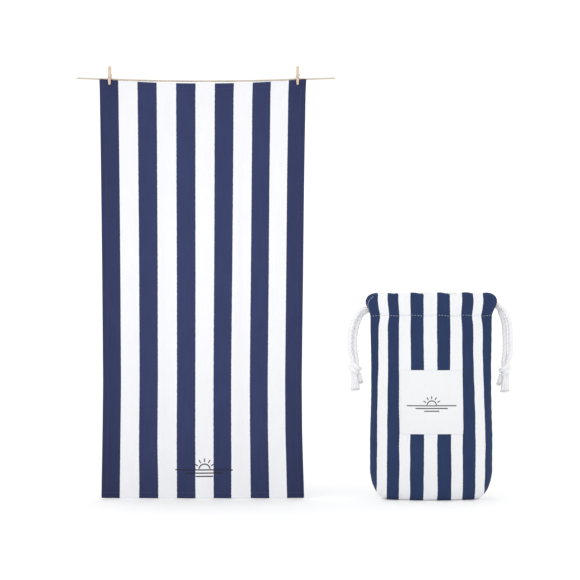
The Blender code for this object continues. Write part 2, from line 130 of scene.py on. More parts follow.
def smooth_path(points, count):
    pts = [Vector(p) for p in points]
    ext = [pts[0] * 2 - pts[1]] + pts + [pts[-1] * 2 - pts[-2]]
    dense = []
    for k in range(1, len(ext) - 2):
        p0, p1, p2, p3 = ext[k - 1:k + 3]
        t0 = 0.0
        t1 = t0 + math.sqrt(max((p1 - p0).length, 1e-9))
        t2 = t1 + math.sqrt(max((p2 - p1).length, 1e-9))
        t3 = t2 + math.sqrt(max((p3 - p2).length, 1e-9))
        for s in range(24):
            t = t1 + (t2 - t1) * s / 24
            a1 = p0 * ((t1 - t) / (t1 - t0)) + p1 * ((t - t0) / (t1 - t0))
            a2 = p1 * ((t2 - t) / (t2 - t1)) + p2 * ((t - t1) / (t2 - t1))
            a3 = p2 * ((t3 - t) / (t3 - t2)) + p3 * ((t - t2) / (t3 - t2))
            b1 = a1 * ((t2 - t) / (t2 - t0)) + a2 * ((t - t0) / (t2 - t0))
            b2 = a2 * ((t3 - t) / (t3 - t1)) + a3 * ((t - t1) / (t3 - t1))
            dense.append(b1 * ((t2 - t) / (t2 - t1)) + b2 * ((t - t1) / (t2 - t1)))
    dense.append(pts[-1])
    lengths = [0.0]
    for a, b in zip(dense, dense[1:]):
        lengths.append(lengths[-1] + (b - a).length)
    out, k = [], 0
    for i in range(count):
        want = lengths[-1] * i / (count - 1)
        while k < len(dense) - 2 and lengths[k + 1] < want:
            k += 1
        span = lengths[k + 1] - lengths[k]
        f = 0.0 if span <= 0 else (want - lengths[k]) / span
        out.append(dense[k].lerp(dense[k + 1], min(max(f, 0.0), 1.0)))
    return out


def path_length(pts):
    return sum((b - a).length for a, b in zip(pts, pts[1:]))


def frames_along(pts):
    tang = []
    for i in range(len(pts)):
        a = pts[max(i - 1, 0)]
        b = pts[min(i + 1, len(pts) - 1)]
        tang.append((b - a).normalized())
    ref = Vector((0, 1, 0)) if abs(tang[0].y) < 0.9 else Vector((1, 0, 0))
    n = (ref - tang[0] * ref.dot(tang[0])).normalized()
    out = []
    for i, t in enumerate(tang):
        n = (n - t * n.dot(t)).normalized()
        out.append((t, n, t.cross(n)))
    return out


def twisted_tube(name, pts, radius, pitch, lobes=3, depth=0.30, sides=24, ring=0.0012, taper=None, round_ends=True, seed=0.0):
    """Laid rope: a lobed section that turns once per pitch along the path."""
    pts = [Vector(p) for p in pts]
    total = path_length(pts)
    count = max(8, int(total / ring))
    line = smooth_path(pts, count) if len(pts) != count else pts
    fr = frames_along(line)
    V, UV, F = [], [], []
    dist = 0.0
    for i, (p, (t, n, b)) in enumerate(zip(line, fr)):
        if i:
            dist += (line[i] - line[i - 1]).length
        f = dist / total
        k = 1.0 if taper is None else taper(f)
        if round_ends:
            e = min(dist, total - dist)
            k *= math.sqrt(max(1 - (1 - min(e / (0.55 * radius), 1.0)) ** 2, 0.02))
        turn = 2 * math.pi * dist / pitch + seed
        wob = 1 + 0.035 * noise.noise(Vector((dist * 90, seed, 0.3)))
        for s in range(sides):
            a = 2 * math.pi * s / sides
            lobe = abs(math.cos(0.5 * lobes * (a - turn))) ** 0.75
            r = radius * k * wob * (1 - depth + depth * lobe)
            V.append(p + (n * math.cos(a) + b * math.sin(a)) * r)
    for i in range(count - 1):
        for s in range(sides):
            s2 = (s + 1) % sides
            F.append((i * sides + s, i * sides + s2, (i + 1) * sides + s2, (i + 1) * sides + s))
    F.append(tuple(reversed(range(sides))))
    F.append(tuple((count - 1) * sides + s for s in range(sides)))
    me = bpy.data.meshes.new(name)
    me.from_pydata([tuple(v) for v in V], [], F)
    # strand coordinates: u runs round the strands with the twist, v along in metres
    layer = me.uv_layers.new(name="cloth")
    idx = np.zeros(len(me.loops), dtype=np.int64)
    me.loops.foreach_get("vertex_index", idx)
    loop_uv = np.zeros((len(me.loops), 2), dtype=np.float32)
    step = total / (count - 1)
    li = 0
    for poly in me.polygons:
        vs = [me.loops[l].vertex_index for l in poly.loop_indices]
        wrap = len(vs) == 4 and {v % sides for v in vs} == {0, sides - 1}
        for l, v in zip(poly.loop_indices, vs):
            s = v % sides
            if wrap and s == 0:
                s = sides
            d = (v // sides) * step
            loop_uv[l] = (s / sides - d / pitch, d)
    layer.data.foreach_set("uv", loop_uv.ravel())
    me.update()
    me.shade_smooth()
    return link(bpy.data.objects.new(name, me)), line


def set_material(ob, mat):
    ob.data.materials.clear()
    ob.data.materials.append(mat)


# ------------------------------------------------------------------ node building
class Nodes:
    def __init__(self, name):
        self.mat = bpy.data.materials.new(name)
        self.mat.use_nodes = True
        self.nt = self.mat.node_tree
        self.bsdf = self.nt.nodes["Principled BSDF"]

    def link(self, a, b):
        self.nt.links.new(a, b)

    def node(self, kind, **props):
        n = self.nt.nodes.new(kind)
        for k, v in props.items():
            setattr(n, k, v)
        return n

    def put(self, socket, value):
        if isinstance(value, bpy.types.NodeSocket):
            self.link(value, socket)
        else:
            socket.default_value = value

    def m(self, op, a, b=0.0, c=None, clamp=False):
        n = self.node("ShaderNodeMath", operation=op, use_clamp=clamp)
        self.put(n.inputs[0], a)
        self.put(n.inputs[1], b)
        if c is not None:
            self.put(n.inputs[2], c)
        return n.outputs[0]

    def smooth(self, x, lo, hi):
        n = self.node("ShaderNodeMapRange", interpolation_type="SMOOTHSTEP")
        self.put(n.inputs[0], x)
        n.inputs[1].default_value, n.inputs[2].default_value = lo, hi
        return n.outputs[0]

    def rng(self, x, lo, hi, a, b):
        n = self.node("ShaderNodeMapRange")
        self.put(n.inputs[0], x)
        for i, v in enumerate((lo, hi, a, b)):
            n.inputs[1 + i].default_value = v
        return n.outputs[0]

    def uv(self, layer="cloth"):
        n = self.node("ShaderNodeUVMap")
        n.uv_map = layer
        s = self.node("ShaderNodeSeparateXYZ")
        self.link(n.outputs[0], s.inputs[0])
        return n.outputs[0], s.outputs[0], s.outputs[1]

    def obj(self):
        n = self.node("ShaderNodeTexCoord")
        return n.outputs["Object"]

    def noise(self, vec, scale, detail=3.0, rough=0.55, stretch=None, dims="3D"):
        if stretch is not None:
            mp = self.node("ShaderNodeMapping")
            self.link(vec, mp.inputs[0])
            mp.inputs["Scale"].default_value = stretch
            vec = mp.outputs[0]
        n = self.node("ShaderNodeTexNoise", noise_dimensions=dims)
        self.link(vec, n.inputs["Vector"])
        n.inputs["Scale"].default_value = scale
        n.inputs["Detail"].default_value = detail
        n.inputs["Roughness"].default_value = rough
        return n.outputs[0]

    def mix(self, fac, a, b, mode="MIX"):
        n = self.node("ShaderNodeMix", data_type="RGBA", blend_type=mode)
        self.put(n.inputs[0], fac)
        self.put(n.inputs[6], a)
        self.put(n.inputs[7], b)
        return n.outputs[2]

    def tint(self, colour, value):
        """colour times a grey value"""
        c = self.node("ShaderNodeCombineColor")
        for i in range(3):
            self.put(c.inputs[i], value)
        return self.mix(1.0, colour, c.outputs[0], "MULTIPLY")

    def bump(self, height, distance, strength=1.0, normal=None):
        n = self.node("ShaderNodeBump")
        n.inputs["Strength"].default_value = strength
        n.inputs["Distance"].default_value = distance
        self.link(height, n.inputs["Height"])
        if normal is not None:
            self.link(normal, n.inputs["Normal"])
        return n.outputs[0]

    def finish(self, colour, rough, normal=None, sheen=0.0, sheen_rough=0.5, metallic=0.0, spec=0.5, sheen_tint=(1, 1, 1, 1)):
        self.put(self.bsdf.inputs["Base Color"], colour)
        self.put(self.bsdf.inputs["Roughness"], rough)
        if normal is not None:
            self.link(normal, self.bsdf.inputs["Normal"])
        self.bsdf.inputs["Sheen Weight"].default_value = sheen
        self.bsdf.inputs["Sheen Roughness"].default_value = sheen_rough
        self.bsdf.inputs["Sheen Tint"].default_value = sheen_tint
        self.bsdf.inputs["Metallic"].default_value = metallic
        self.bsdf.inputs["Specular IOR Level"].default_value = spec
        return self.mat


NAVY_TOWEL = (0.0300, 0.0385, 0.1060, 1)
WHITE_TOWEL = (0.792, 0.795, 0.822, 1)
NAVY_POUCH = (0.0210, 0.0378, 0.1010, 1)
WHITE_POUCH = (0.802, 0.808, 0.824, 1)
INK = (0.022, 0.024, 0.034, 1)


def emblem(N, x, y):
    """Plain emblem: half a sun with straight rays over three level bars.
    x and y are millimetres from its centre; returns a 0..1 ink mask."""
    r = N.m("SQRT", N.m("ADD", N.m("MULTIPLY", x, x), N.m("MULTIPLY", y, y)))
    above = N.smooth(y, 1.4, 1.8)
    ring = N.m("SUBTRACT", 1.0, N.smooth(N.m("ABSOLUTE", N.m("SUBTRACT", r, 9.0)), 0.80, 1.20))
    ang = N.m("ARCTAN2", x, y)
    near = N.m("PINGPONG", ang, math.radians(15))
    near = N.m("MULTIPLY", N.m("SINE", near), r)
    rays = N.m("SUBTRACT", 1.0, N.smooth(near, 0.72, 1.12))
    span = N.m("MULTIPLY", N.smooth(r, 12.0, 12.4), N.m("SUBTRACT", 1.0, N.smooth(r, 17.6, 18.0)))
    rays = N.m("MULTIPLY", rays, span)
    top = N.m("MULTIPLY", N.m("MAXIMUM", ring, rays), above)

    def bar(yc, half, thick=1.0):
        a = N.m("SUBTRACT", 1.0, N.smooth(N.m("ABSOLUTE", N.m("SUBTRACT", y, yc)), thick - 0.2, thick + 0.2))
        b = N.m("SUBTRACT", 1.0, N.smooth(N.m("ABSOLUTE", x), half - 0.2, half + 0.2))
        return N.m("MULTIPLY", a, b)

    bars = N.m("MAXIMUM", bar(0.0, 46.0), N.m("MAXIMUM", bar(-5.0, 30.0), bar(-10.0, 14.0)))
    return N.m("MAXIMUM", top, bars)


def stripe_cloth(name, navy, white, kind, ink_on=True):
    """Striped cloth. u counts stripes (0 to 11), v is the height in metres."""
    N = Nodes(name)
    uv, u, v = N.uv()
    metres = N.node("ShaderNodeCombineXYZ")
    if kind == "towel":
        pitch = TOWEL_W / STRIPES
    else:
        pitch = 0.0245
    um = N.m("MULTIPLY", u, pitch)
    N.link(um, metres.inputs[0])
    N.link(v, metres.inputs[1])
    cloth = metres.outputs[0]
    # the print's edge wanders a little along the thread
    wander = N.noise(cloth, 1.0, 4.0, 0.65, stretch=(30, 420, 1), dims="2D")
    edge = N.m("ADD", u, N.m("MULTIPLY", N.m("SUBTRACT", wander, 0.5), 0.05))
    saw = N.m("PINGPONG", N.m("ADD", edge, 0.5), 1.0)
    # saw is 0.5 at a stripe's edge: above it is the navy side of stripe 0
    is_navy = N.smooth(saw, 0.488, 0.512)
    blotch = N.noise(cloth, 1.0, 4.0, 0.6, stretch=(28, 16, 1), dims="2D")
    fibre = N.noise(cloth, 1.0, 3.0, 0.7, stretch=(1500, 420, 1), dims="2D")
    if kind == "towel":
        rib = N.noise(cloth, 1.0, 2.0, 0.6, stretch=(340, 14, 1), dims="2D")
        amount = (0.13, 0.12, 0.10)
    else:
        rib = N.noise(cloth, 1.0, 2.0, 0.65, stretch=(420, 20, 1), dims="2D")
        amount = (0.10, 0.16, 0.16)
    # cross weave, about five threads to the centimetre pair each way
    tu = N.m("SINE", N.m("MULTIPLY", um, 2 * math.pi / 0.0011))
    tv = N.m("SINE", N.m("MULTIPLY", v, 2 * math.pi / 0.0011))
    weave = N.m("MULTIPLY", tu, tv)
    value = N.m("ADD", 1.0, N.m("MULTIPLY", N.m("SUBTRACT", blotch, 0.5), amount[0] * 2))
    value = N.m("ADD", value, N.m("MULTIPLY", N.m("SUBTRACT", fibre, 0.5), amount[1] * 2))
    value = N.m("ADD", value, N.m("MULTIPLY", N.m("SUBTRACT", rib, 0.5), amount[2] * 2))
    if kind == "towel":
        # painted shade: the navy is darkened a little towards the sides (less on the right), the foot and the head of
        # the towel
        inset = N.m("MINIMUM", u, N.m("MULTIPLY", N.m("SUBTRACT", float(STRIPES), u), 1.25))
        sides = N.m("SUBTRACT", 1.0, N.smooth(inset, 0.0, 3.2))
        foot = N.m("SUBTRACT", 1.0, N.smooth(v, -0.10, 0.22))
        head_shade = N.smooth(v, 0.70, 0.82)
        depth = N.m("ADD", N.m("MULTIPLY", sides, 0.17), N.m("MULTIPLY", foot, 0.26))
        depth = N.m("ADD", depth, N.m("MULTIPLY", head_shade, 0.07))
        navy = N.tint(navy, N.m("SUBTRACT", 1.07, depth))
    dark = N.tint(navy, value)
    soft = N.m("ADD", 1.0, N.m("MULTIPLY", N.m("SUBTRACT", value, 1.0), 0.16))
    light = N.tint(white, soft)
    colour = N.mix(is_navy, light, dark)
    if kind == "towel" and ink_on:
        cx, cy, scale = 0.5 * TOWEL_W, 0.0550, 1000.0 / 1.25
        x = N.m("MULTIPLY", N.m("SUBTRACT", um, cx), scale)
        y = N.m("MULTIPLY", N.m("SUBTRACT", v, cy), scale)
        ink = emblem(N, x, y)
        colour = N.mix(N.m("MULTIPLY", ink, 0.95), colour, INK)
    h = N.m("ADD", N.m("MULTIPLY", weave, 0.20), N.m("MULTIPLY", fibre, 0.9))
    n1 = N.bump(h, 0.00018, 0.55)
    n2 = N.bump(N.m("ADD", rib, N.m("MULTIPLY", blotch, 0.8)), 0.0006, 0.30, n1)
    rough = N.rng(fibre, 0.2, 0.8, 0.82, 0.98)
    return N.finish(colour, rough, n2, sheen=0.18 if kind == "towel" else 0.08, sheen_rough=0.45, spec=0.18,
                    sheen_tint=(0.85, 0.88, 1.0, 1))


def plain_cloth(name, colour, spread=0.05, pitch=0.0009, with_emblem=None, spec=0.2):
    N = Nodes(name)
    P = N.obj()
    f = N.noise(P, 1700.0, 3.0, 0.65)
    b = N.noise(P, 45.0, 3.0, 0.6)
    sep = N.node("ShaderNodeSeparateXYZ")
    N.link(P, sep.inputs[0])
    tu = N.m("SINE", N.m("MULTIPLY", sep.outputs[0], 2 * math.pi / pitch))
    tv = N.m("SINE", N.m("MULTIPLY", sep.outputs[2], 2 * math.pi / pitch))
    weave = N.m("MULTIPLY", tu, tv)
    val = N.m("ADD", 1.0 - spread, N.m("MULTIPLY", N.m("ADD", f, b), spread))
    col = N.tint(colour, val)
    if with_emblem is not None:
        cx, cz, scale = with_emblem
        x = N.m("MULTIPLY", N.m("SUBTRACT", sep.outputs[0], cx), scale)
        y = N.m("MULTIPLY", N.m("SUBTRACT", sep.outputs[2], cz), scale)
        col = N.mix(N.m("MULTIPLY", emblem(N, x, y), 0.94), col, INK)
    h = N.m("ADD", N.m("MULTIPLY", weave, 0.3), f)
    nrm = N.bump(h, 0.00015, 0.5)
    return N.finish(col, N.rng(f, 0.2, 0.8, 0.80, 0.95), nrm, sheen=0.1, spec=spec)


def cord_cloth(name, colour, dark, strands, pitch, fuzz=1.0, bump=0.00035):
    """Laid cord: painted shade darkens the creases between strands, fine yarns along each."""
    N = Nodes(name)
    uv, u, v = N.uv()
    around = N.m("MULTIPLY", u, float(strands))
    crease = N.m("ABSOLUTE", N.m("SUBTRACT", N.m("FRACT", N.m("ADD", around, 0.0)), 0.5))
    # crease is 0 half way between strands' crests
    yarn = N.m("SINE", N.m("ADD", N.m("MULTIPLY", u, 2 * math.pi * strands * 5), N.m("MULTIPLY", v, -2 * math.pi / (pitch * 0.33))))
    fib = N.noise(uv, 1.0, 3.0, 0.65, stretch=(22, 1600, 1), dims="2D")
    soft = N.noise(N.obj(), 130.0, 3.0, 0.6)
    # painted shade: the dark colour is mixed in towards the creases between the strands
    shade = N.smooth(crease, 0.03, 0.22)
    val = N.m("ADD", 0.92, N.m("MULTIPLY", fib, 0.12))
    val = N.m("ADD", val, N.m("MULTIPLY", N.m("SUBTRACT", soft, 0.5), 0.12))
    val = N.m("ADD", val, N.m("MULTIPLY", yarn, 0.025))
    col = N.tint(N.mix(shade, dark, colour), val)
    h = N.m("ADD", N.m("MULTIPLY", yarn, 0.35), N.m("MULTIPLY", fib, 0.8))
    nrm = N.bump(h, bump, 0.6)
    return N.finish(col, 0.93, nrm, sheen=0.25 * fuzz, sheen_rough=0.6, spec=0.15)


def wood(name):
    N = Nodes(name)
    P = N.obj()
    grain = N.noise(P, 1.0, 5.0, 0.6, stretch=(900, 700, 55))
    wide = N.noise(P, 1.0, 3.0, 0.5, stretch=(240, 180, 16))
    pores = N.noise(P, 1.0, 2.0, 0.7, stretch=(2600, 2200, 190))
    g = N.m("ADD", N.m("MULTIPLY", grain, 0.6), N.m("MULTIPLY", wide, 0.4))
    col = N.mix(N.smooth(g, 0.36, 0.66), (0.74, 0.61, 0.48, 1), (0.58, 0.43, 0.30, 1))
    dots = N.smooth(pores, 0.62, 0.74)
    col = N.mix(N.m("MULTIPLY", dots, 0.35), col, (0.36, 0.22, 0.12, 1))
    nrm = N.bump(N.m("ADD", grain, N.m("MULTIPLY", pores, 0.5)), 0.00012, 0.5)
    return N.finish(col, N.rng(grain, 0.3, 0.7, 0.50, 0.68), nrm, spec=0.35)


def steel(name):
    N = Nodes(name)
    P = N.obj()
    f = N.noise(P, 900.0, 3.0, 0.6)
    w = N.noise(P, 160.0, 2.0, 0.6)
    col = N.mix(N.smooth(w, 0.55, 0.75), (0.60, 0.60, 0.61, 1), (0.40, 0.38, 0.35, 1))
    nrm = N.bump(f, 0.00004, 0.4)
    return N.finish(col, N.rng(f, 0.3, 0.7, 0.24, 0.40), nrm, metallic=1.0)


MAT_TOWEL = stripe_cloth("towel_stripes", NAVY_TOWEL, WHITE_TOWEL, "towel")
MAT_TOWEL_BACK = stripe_cloth("towel_stripes_back", (0.052, 0.063, 0.142, 1), WHITE_TOWEL, "towel", ink_on=False)
MAT_POUCH = stripe_cloth("pouch_stripes", NAVY_POUCH, WHITE_POUCH, "pouch")
MAT_LABEL = plain_cloth("label_weave", (0.785, 0.796, 0.812, 1), 0.03, 0.0007,
                        with_emblem=(POUCH_X - 0.0020, POUCH_Z + 0.1800, 1000.0 / 1.02))
MAT_LINING = plain_cloth("lining_weave", (0.77, 0.775, 0.79, 1), 0.05)
MAT_THREAD = plain_cloth("thread_spun", (0.56, 0.59, 0.69, 1), 0.06, 0.0004)
# the second colour of each cord is painted shade for the creases between its strands
MAT_ROPE = cord_cloth("line_fibre", (0.70, 0.63, 0.54, 1), (0.50, 0.43, 0.35, 1), 3, 0.0085, fuzz=0.4, bump=0.00018)
MAT_CORD = cord_cloth("cotton_cord", (0.850, 0.850, 0.868, 1), (0.800, 0.800, 0.822, 1), 3, 0.024, bump=0.00024)
MAT_WOOD = wood("peg_birch")
MAT_STEEL = steel("spring_steel")


# ------------------------------------------------------------------ line
def rope_z(x):
    left, right = PEG_X
    if left < x < right:
        mid = 0.5 * (left + right)
        half = 0.5 * (right - left)
        return AXIS_Z * ((x - mid) / half) ** 2
    end = ROPE_LEFT_X if x <= left else ROPE_RIGHT_X
    peg = left if x <= left else right
    return AXIS_Z + (ROPE_END_Z - AXIS_Z) * ease(abs((x - peg) / (end - peg)) * 0.98 + 0.02)


def make_rope():
    xs = steps(ROPE_LEFT_X + 0.0005, ROPE_RIGHT_X - 0.0005, 40)
    route = [(x, 0.0, rope_z(x)) for x in xs]
    rope, line = twisted_tube("line_rope_laid", route, ROPE_R, 0.0085, lobes=3, depth=0.26, sides=18, ring=0.00085)
    set_material(rope, MAT_ROPE)
    # loose fibres along the line and at its cut ends
    rnd = np.random.default_rng(11)
    V, F = [], []

    def hair(base, direction, length, r0):
        d = direction.normalized()
        side = d.orthogonal().normalized()
        up = d.cross(side)
        bend = Vector(rnd.normal(0, 1, 3)) * length * 0.25
        start = len(V)
        segs = 4
        for k in range(segs + 1):
            f = k / segs
            c = base + d * length * f + bend * f * f
            r = r0 * (1 - 0.75 * f)
            for s in range(3):
                a = 2 * math.pi * s / 3
                V.append(tuple(c + side * math.cos(a) * r + up * math.sin(a) * r))
        for k in range(segs):
            for s in range(3):
                s2 = (s + 1) % 3
                F.append((start + k * 3 + s, start + k * 3 + s2, start + (k + 1) * 3 + s2, start + (k + 1) * 3 + s))
        F.append((start + 2, start + 1, start))
        F.append((start + segs * 3, start + segs * 3 + 1, start + segs * 3 + 2))

    for k in range(230):
        x = rnd.uniform(ROPE_LEFT_X + 0.003, ROPE_RIGHT_X - 0.003)
        a = rnd.uniform(0, 2 * math.pi)
        out = Vector((0, math.cos(a), math.sin(a)))
        base = Vector((x, 0, rope_z(x))) + out * ROPE_R * 0.80
        hair(base, out * 0.5 + Vector((rnd.choice((-1, 1)) * rnd.uniform(0.7, 1.6), 0, 0)), rnd.uniform(0.0012, 0.0032), 0.00007)
    for x, s in ((ROPE_LEFT_X + 0.0012, -1), (ROPE_RIGHT_X - 0.0012, 1)):
        for k in range(26):
            a, r = rnd.uniform(0, 2 * math.pi), ROPE_R * 0.75 * math.sqrt(rnd.uniform())
            base = Vector((x, r * math.cos(a), ROPE_END_Z + r * math.sin(a)))
            hair(base, Vector((s, 0.35 * math.cos(a) * r / ROPE_R, 0.35 * math.sin(a) * r / ROPE_R)), rnd.uniform(0.0015, 0.0030), 0.00011)
    me = bpy.data.meshes.new("line_fibres")
    me.from_pydata(V, [], F)
    me.update()
    me.shade_smooth()
    fibres = link(bpy.data.objects.new("line_fibres", me))
    N = Nodes("line_fibre_hair")
    f = N.noise(N.obj(), 300.0, 2.0)
    set_material(fibres, N.finish(N.tint((0.72, 0.66, 0.56, 1), N.m("ADD", 0.8, N.m("MULTIPLY", f, 0.4))), 0.9, spec=0.2))
    for ob in (rope, fibres):
        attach(ob, "line")
    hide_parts("line_rope")
    return rope, line


# ------------------------------------------------------------------ towel
def towel_base(uu, vv):
    spread = 0.9875 - 0.0235 * ease(vv / 0.35) + 0.004 * ease((vv - 0.8) / 0.2)
    x = 0.5 * TOWEL_W * uu * spread
    edge = 1.0 - abs(uu) ** 2.2
    top = TOWEL_TOP_Z - TOP_SAG * edge
    bottom = TOWEL_TOP_Z - TOWEL_H
    z = top + (bottom - top) * vv
    slack = max(0.0, AXIS_Z - rope_z(x))
    lean = TOWEL_TOP_Y * (1 - 2 * vv) - slack * (1 - ease(vv / 0.12))
    swell = ease(vv / 0.30)
    ripple = 0.0046 * math.cos(2 * math.pi * (2.9 * uu * 0.5) + 0.6 * vv + 0.35)
    ripple += 0.0022 * math.sin(2 * math.pi * (5.1 * uu * 0.5) - 1.1 * vv)
    hold = min(1.0, 0.25 + 0.75 * edge)
    return Vector((x, lean + swell * hold * ripple, z))


def stripe_at(f):
    """Stripe count at a share of the width: the print sits a little off centre."""
    count = STRIPES * (f - 0.0140 * math.sin(math.pi * f ** 1.7))
    return min(max(count, 0.10), STRIPES - 0.10)


def make_towel():
    nu, nv = 88, 172
    P = [[towel_base(-1 + 2 * i / nu, j / nv) for i in range(nu + 1)] for j in range(nv + 1)]
    UV = [[(stripe_at(i / nu), TOWEL_H * (1 - j / nv)) for i in range(nu + 1)] for j in range(nv + 1)]
    cloth = grid_object("towel_sheet", P, UV, flip=True)
    pins = cloth.vertex_groups.new(name="pins")
    ids = []
    hold = []
    for j in range(nv + 1):
        for i in range(nu + 1):
            x = P[j][i].x
            z = P[j][i].z
            gripped = min(abs(x - px) for px in PEG_X) < 0.0048 and z > PEG_TIP_Z - 0.001
            if gripped:
                ids.append(j * (nu + 1) + i)
            elif j == 0:
                hold.append(j * (nu + 1) + i)
    pins.add(ids, 1.0, "REPLACE")
    # the sewn hem keeps the top edge straight between the pegs
    pins.add(hold, 1.0, "REPLACE")
    mod = cloth.modifiers.new("hang", "CLOTH")
    st = mod.settings
    st.quality = 9
    st.mass = 0.18
    st.tension_stiffness = 60
    st.compression_stiffness = 30
    st.shear_stiffness = 12
    st.bending_stiffness = 1.2
    st.tension_damping = 12
    st.compression_damping = 12
    st.shear_damping = 12
    st.bending_damping = 2.0
    st.air_damping = 4.0
    st.vertex_group_mass = "pins"
    st.pin_stiffness = 1.0
    mod.collision_settings.use_collision = False
    mod.collision_settings.use_self_collision = False
    mod.point_cache.frame_start, mod.point_cache.frame_end = 1, 40
    sc = bpy.context.scene
    sc.frame_start, sc.frame_end = 1, 40
    for f in range(1, 31):
        sc.frame_set(f)
    apply_modifiers(cloth)
    sc.frame_set(1)
    # take the shape the simulation made, and hang it at its true height
    co = np.zeros(len(cloth.data.vertices) * 3)
    cloth.data.vertices.foreach_get("co", co)
    co = co.reshape(-1, 3)
    ref = np.array([[tuple(p) for p in row] for row in P]).reshape(-1, 3)
    delta = co - ref
    print("towel sim shift mm", np.abs(delta).max(0) * 1000, np.abs(delta).mean(0) * 1000)
    # the cloth draws in a little between its ends, more on the right
    depth = [0.0, 0.035, 0.15, 0.26, 0.36, 0.46, 0.72, 0.84, 1.0]
    left_at = [-0.1981, -0.1973, -0.1958, -0.1946, -0.1936, -0.1927, -0.1909, -0.1920, -0.1941]
    right_at = [0.1970, 0.1956, 0.1940, 0.1926, 0.1917, 0.1909, 0.1882, 0.1890, 0.1927]
    G = co.reshape(nv + 1, nu + 1, 3)
    for j in range(nv + 1):
        a, b = float(G[j, 0, 0]), float(G[j, -1, 0])
        la, rb = float(np.interp(j / nv, depth, left_at)), float(np.interp(j / nv, depth, right_at))
        G[j, :, 0] = la + (G[j, :, 0] - a) * (rb - la) / (b - a)
    for _ in range(6):
        G[1:-1, :, 0] = 0.5 * G[1:-1, :, 0] + 0.25 * (G[:-2, :, 0] + G[2:, :, 0])
    share = np.linspace(0.0, 1.0, nu + 1)
    for j in range(nv + 1):
        v = j / nv
        G[j, :, 0] -= (0.0017 * ease((v - 0.2) / 0.5) + 0.0012 * ease((v - 0.85) / 0.15)) * np.exp(-((share - 0.645) / 0.12) ** 2)
        G[j, :, 0] += 0.0022 * ease((v - 0.86) / 0.12) * np.exp(-((share - 0.245) / 0.09) ** 2)
    low = float(co[:, 2].min())
    want = TOWEL_TOP_Z - TOWEL_H
    top = TOWEL_TOP_Z
    scale = (top - want) / (top - low)
    co[:, 2] = top + (co[:, 2] - top) * scale
    # faint creases: fans from the pegs and soft diagonals under the top edge
    for k in range(len(co)):
        x, y, z = co[k]
        v = (TOWEL_TOP_Z - z) / TOWEL_H
        u = x / (0.5 * TOWEL_W)
        d = 0.0
        for px in PEG_X:
            rx, rz = x - px, PEG_TIP_Z - z
            rr = math.hypot(rx, rz)
            ang = math.atan2(rx, max(rz, 1e-5))
            d += 0.0007 * math.cos(ang * 9.0 + 0.7) * math.exp(-((rr - 0.045) / 0.040) ** 2) * ease(rr / 0.02)
        d += 0.00085 * noise.noise(Vector((x * 24 + z * 17, z * 13 - x * 9, 3.1))) * ease(v / 0.02) * math.exp(-v / 0.35)
        d += 0.00080 * noise.noise(Vector((x * 42, z * 3.2, 7.7))) * ease(v / 0.10)
        d += 0.00030 * noise.noise(Vector((x * 120, z * 26, 1.7))) * ease(v / 0.02)
        co[k][1] = y + d
    cloth.data.vertices.foreach_set("co", co.ravel())
    cloth.data.update()
    sub = cloth.modifiers.new("sub", "SUBSURF")
    sub.levels = sub.render_levels = 1
    sub.uv_smooth = "NONE"
    sol = cloth.modifiers.new("thickness", "SOLIDIFY")
    sol.thickness = 0.0010
    sol.offset = 0.0
    sol.use_even_offset = False
    sol.material_offset = 1
    sol.material_offset_rim = 0
    cloth.data.materials.append(MAT_TOWEL)
    cloth.data.materials.append(MAT_TOWEL_BACK)
    grid = (co.reshape(nv + 1, nu + 1, 3), nu, nv)
    apply_modifiers(cloth)
    cloth.data.shade_smooth()
    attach(cloth, "towel")
    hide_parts("towel_cloth")
    return cloth, grid


def towel_surface(grid, u, v, off):
    """Point on the hung cloth at u, v (0..1), moved off towards the back."""
    G, nu, nv = grid
    def at(uu, vv):
        a = min(max(uu, 0.0), 1.0) * nu
        b = min(max(vv, 0.0), 1.0) * nv
        i, j = min(int(a), nu - 1), min(int(b), nv - 1)
        fu, fv = a - i, b - j
        p = (G[j, i] * (1 - fu) + G[j, i + 1] * fu) * (1 - fv) + (G[j + 1, i] * (1 - fu) + G[j + 1, i + 1] * fu) * fv
        return Vector(p)
    p = at(u, v)
    h = 0.004
    du = at(u + h, v) - at(u - h, v)
    dv = at(u, v + h) - at(u, v - h)
    n = dv.cross(du)
    n.normalize()
    if n.y < 0:
        n.negate()
    return p + n * off


def make_hems(grid):
    """Folded edges on the back; their stitch rows on the front are made in make_towel_threads."""
    hv, hu = 0.012 / TOWEL_H, 0.012 / TOWEL_W
    made = []

    def band(name, us, vs, cad):
        # a flat fold with softly rounded edges
        rows, uvs = [], []
        for v in vs:
            row, ruv = [], []
            for u in us:
                row.append((u, v))
            rows.append(row)
        P = [[towel_surface(grid, u, v, 0.00085 + 0.0001 * noise.noise(Vector((u * 60, v * 110, 0)))) for (u, v) in row] for row in rows]
        UV = [[(stripe_at(u), TOWEL_H * (1 - v)) for (u, v) in row] for row in rows]
        ob = grid_object(name, P, UV, flip=False)
        sol = ob.modifiers.new("t", "SOLIDIFY")
        sol.thickness, sol.offset, sol.use_even_offset = 0.0007, 0.0, False
        bev = ob.modifiers.new("b", "BEVEL")
        bev.width, bev.segments, bev.limit_method, bev.angle_limit = 0.00022, 2, "ANGLE", math.radians(50)
        apply_modifiers(ob)
        ob.data.shade_smooth()
        set_material(ob, MAT_TOWEL)
        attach(ob, "towel")
        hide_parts(cad)
        made.append(ob)

    band("towel_fold_top", steps(0.001, 0.999, 132), steps(0.0006, hv, 4), "towel_hem_top")
    band("towel_fold_bottom", steps(0.001, 0.999, 132), steps(1 - hv, 0.9994, 4), "towel_hem_bottom")
    band("towel_fold_left", steps(0.001, hu, 4), steps(hv + 0.0002, 1 - hv - 0.0002, 150), "towel_hem_left")
    band("towel_fold_right", steps(1 - hu, 0.999, 4), steps(hv + 0.0002, 1 - hv - 0.0002, 150), "towel_hem_right")
    return made


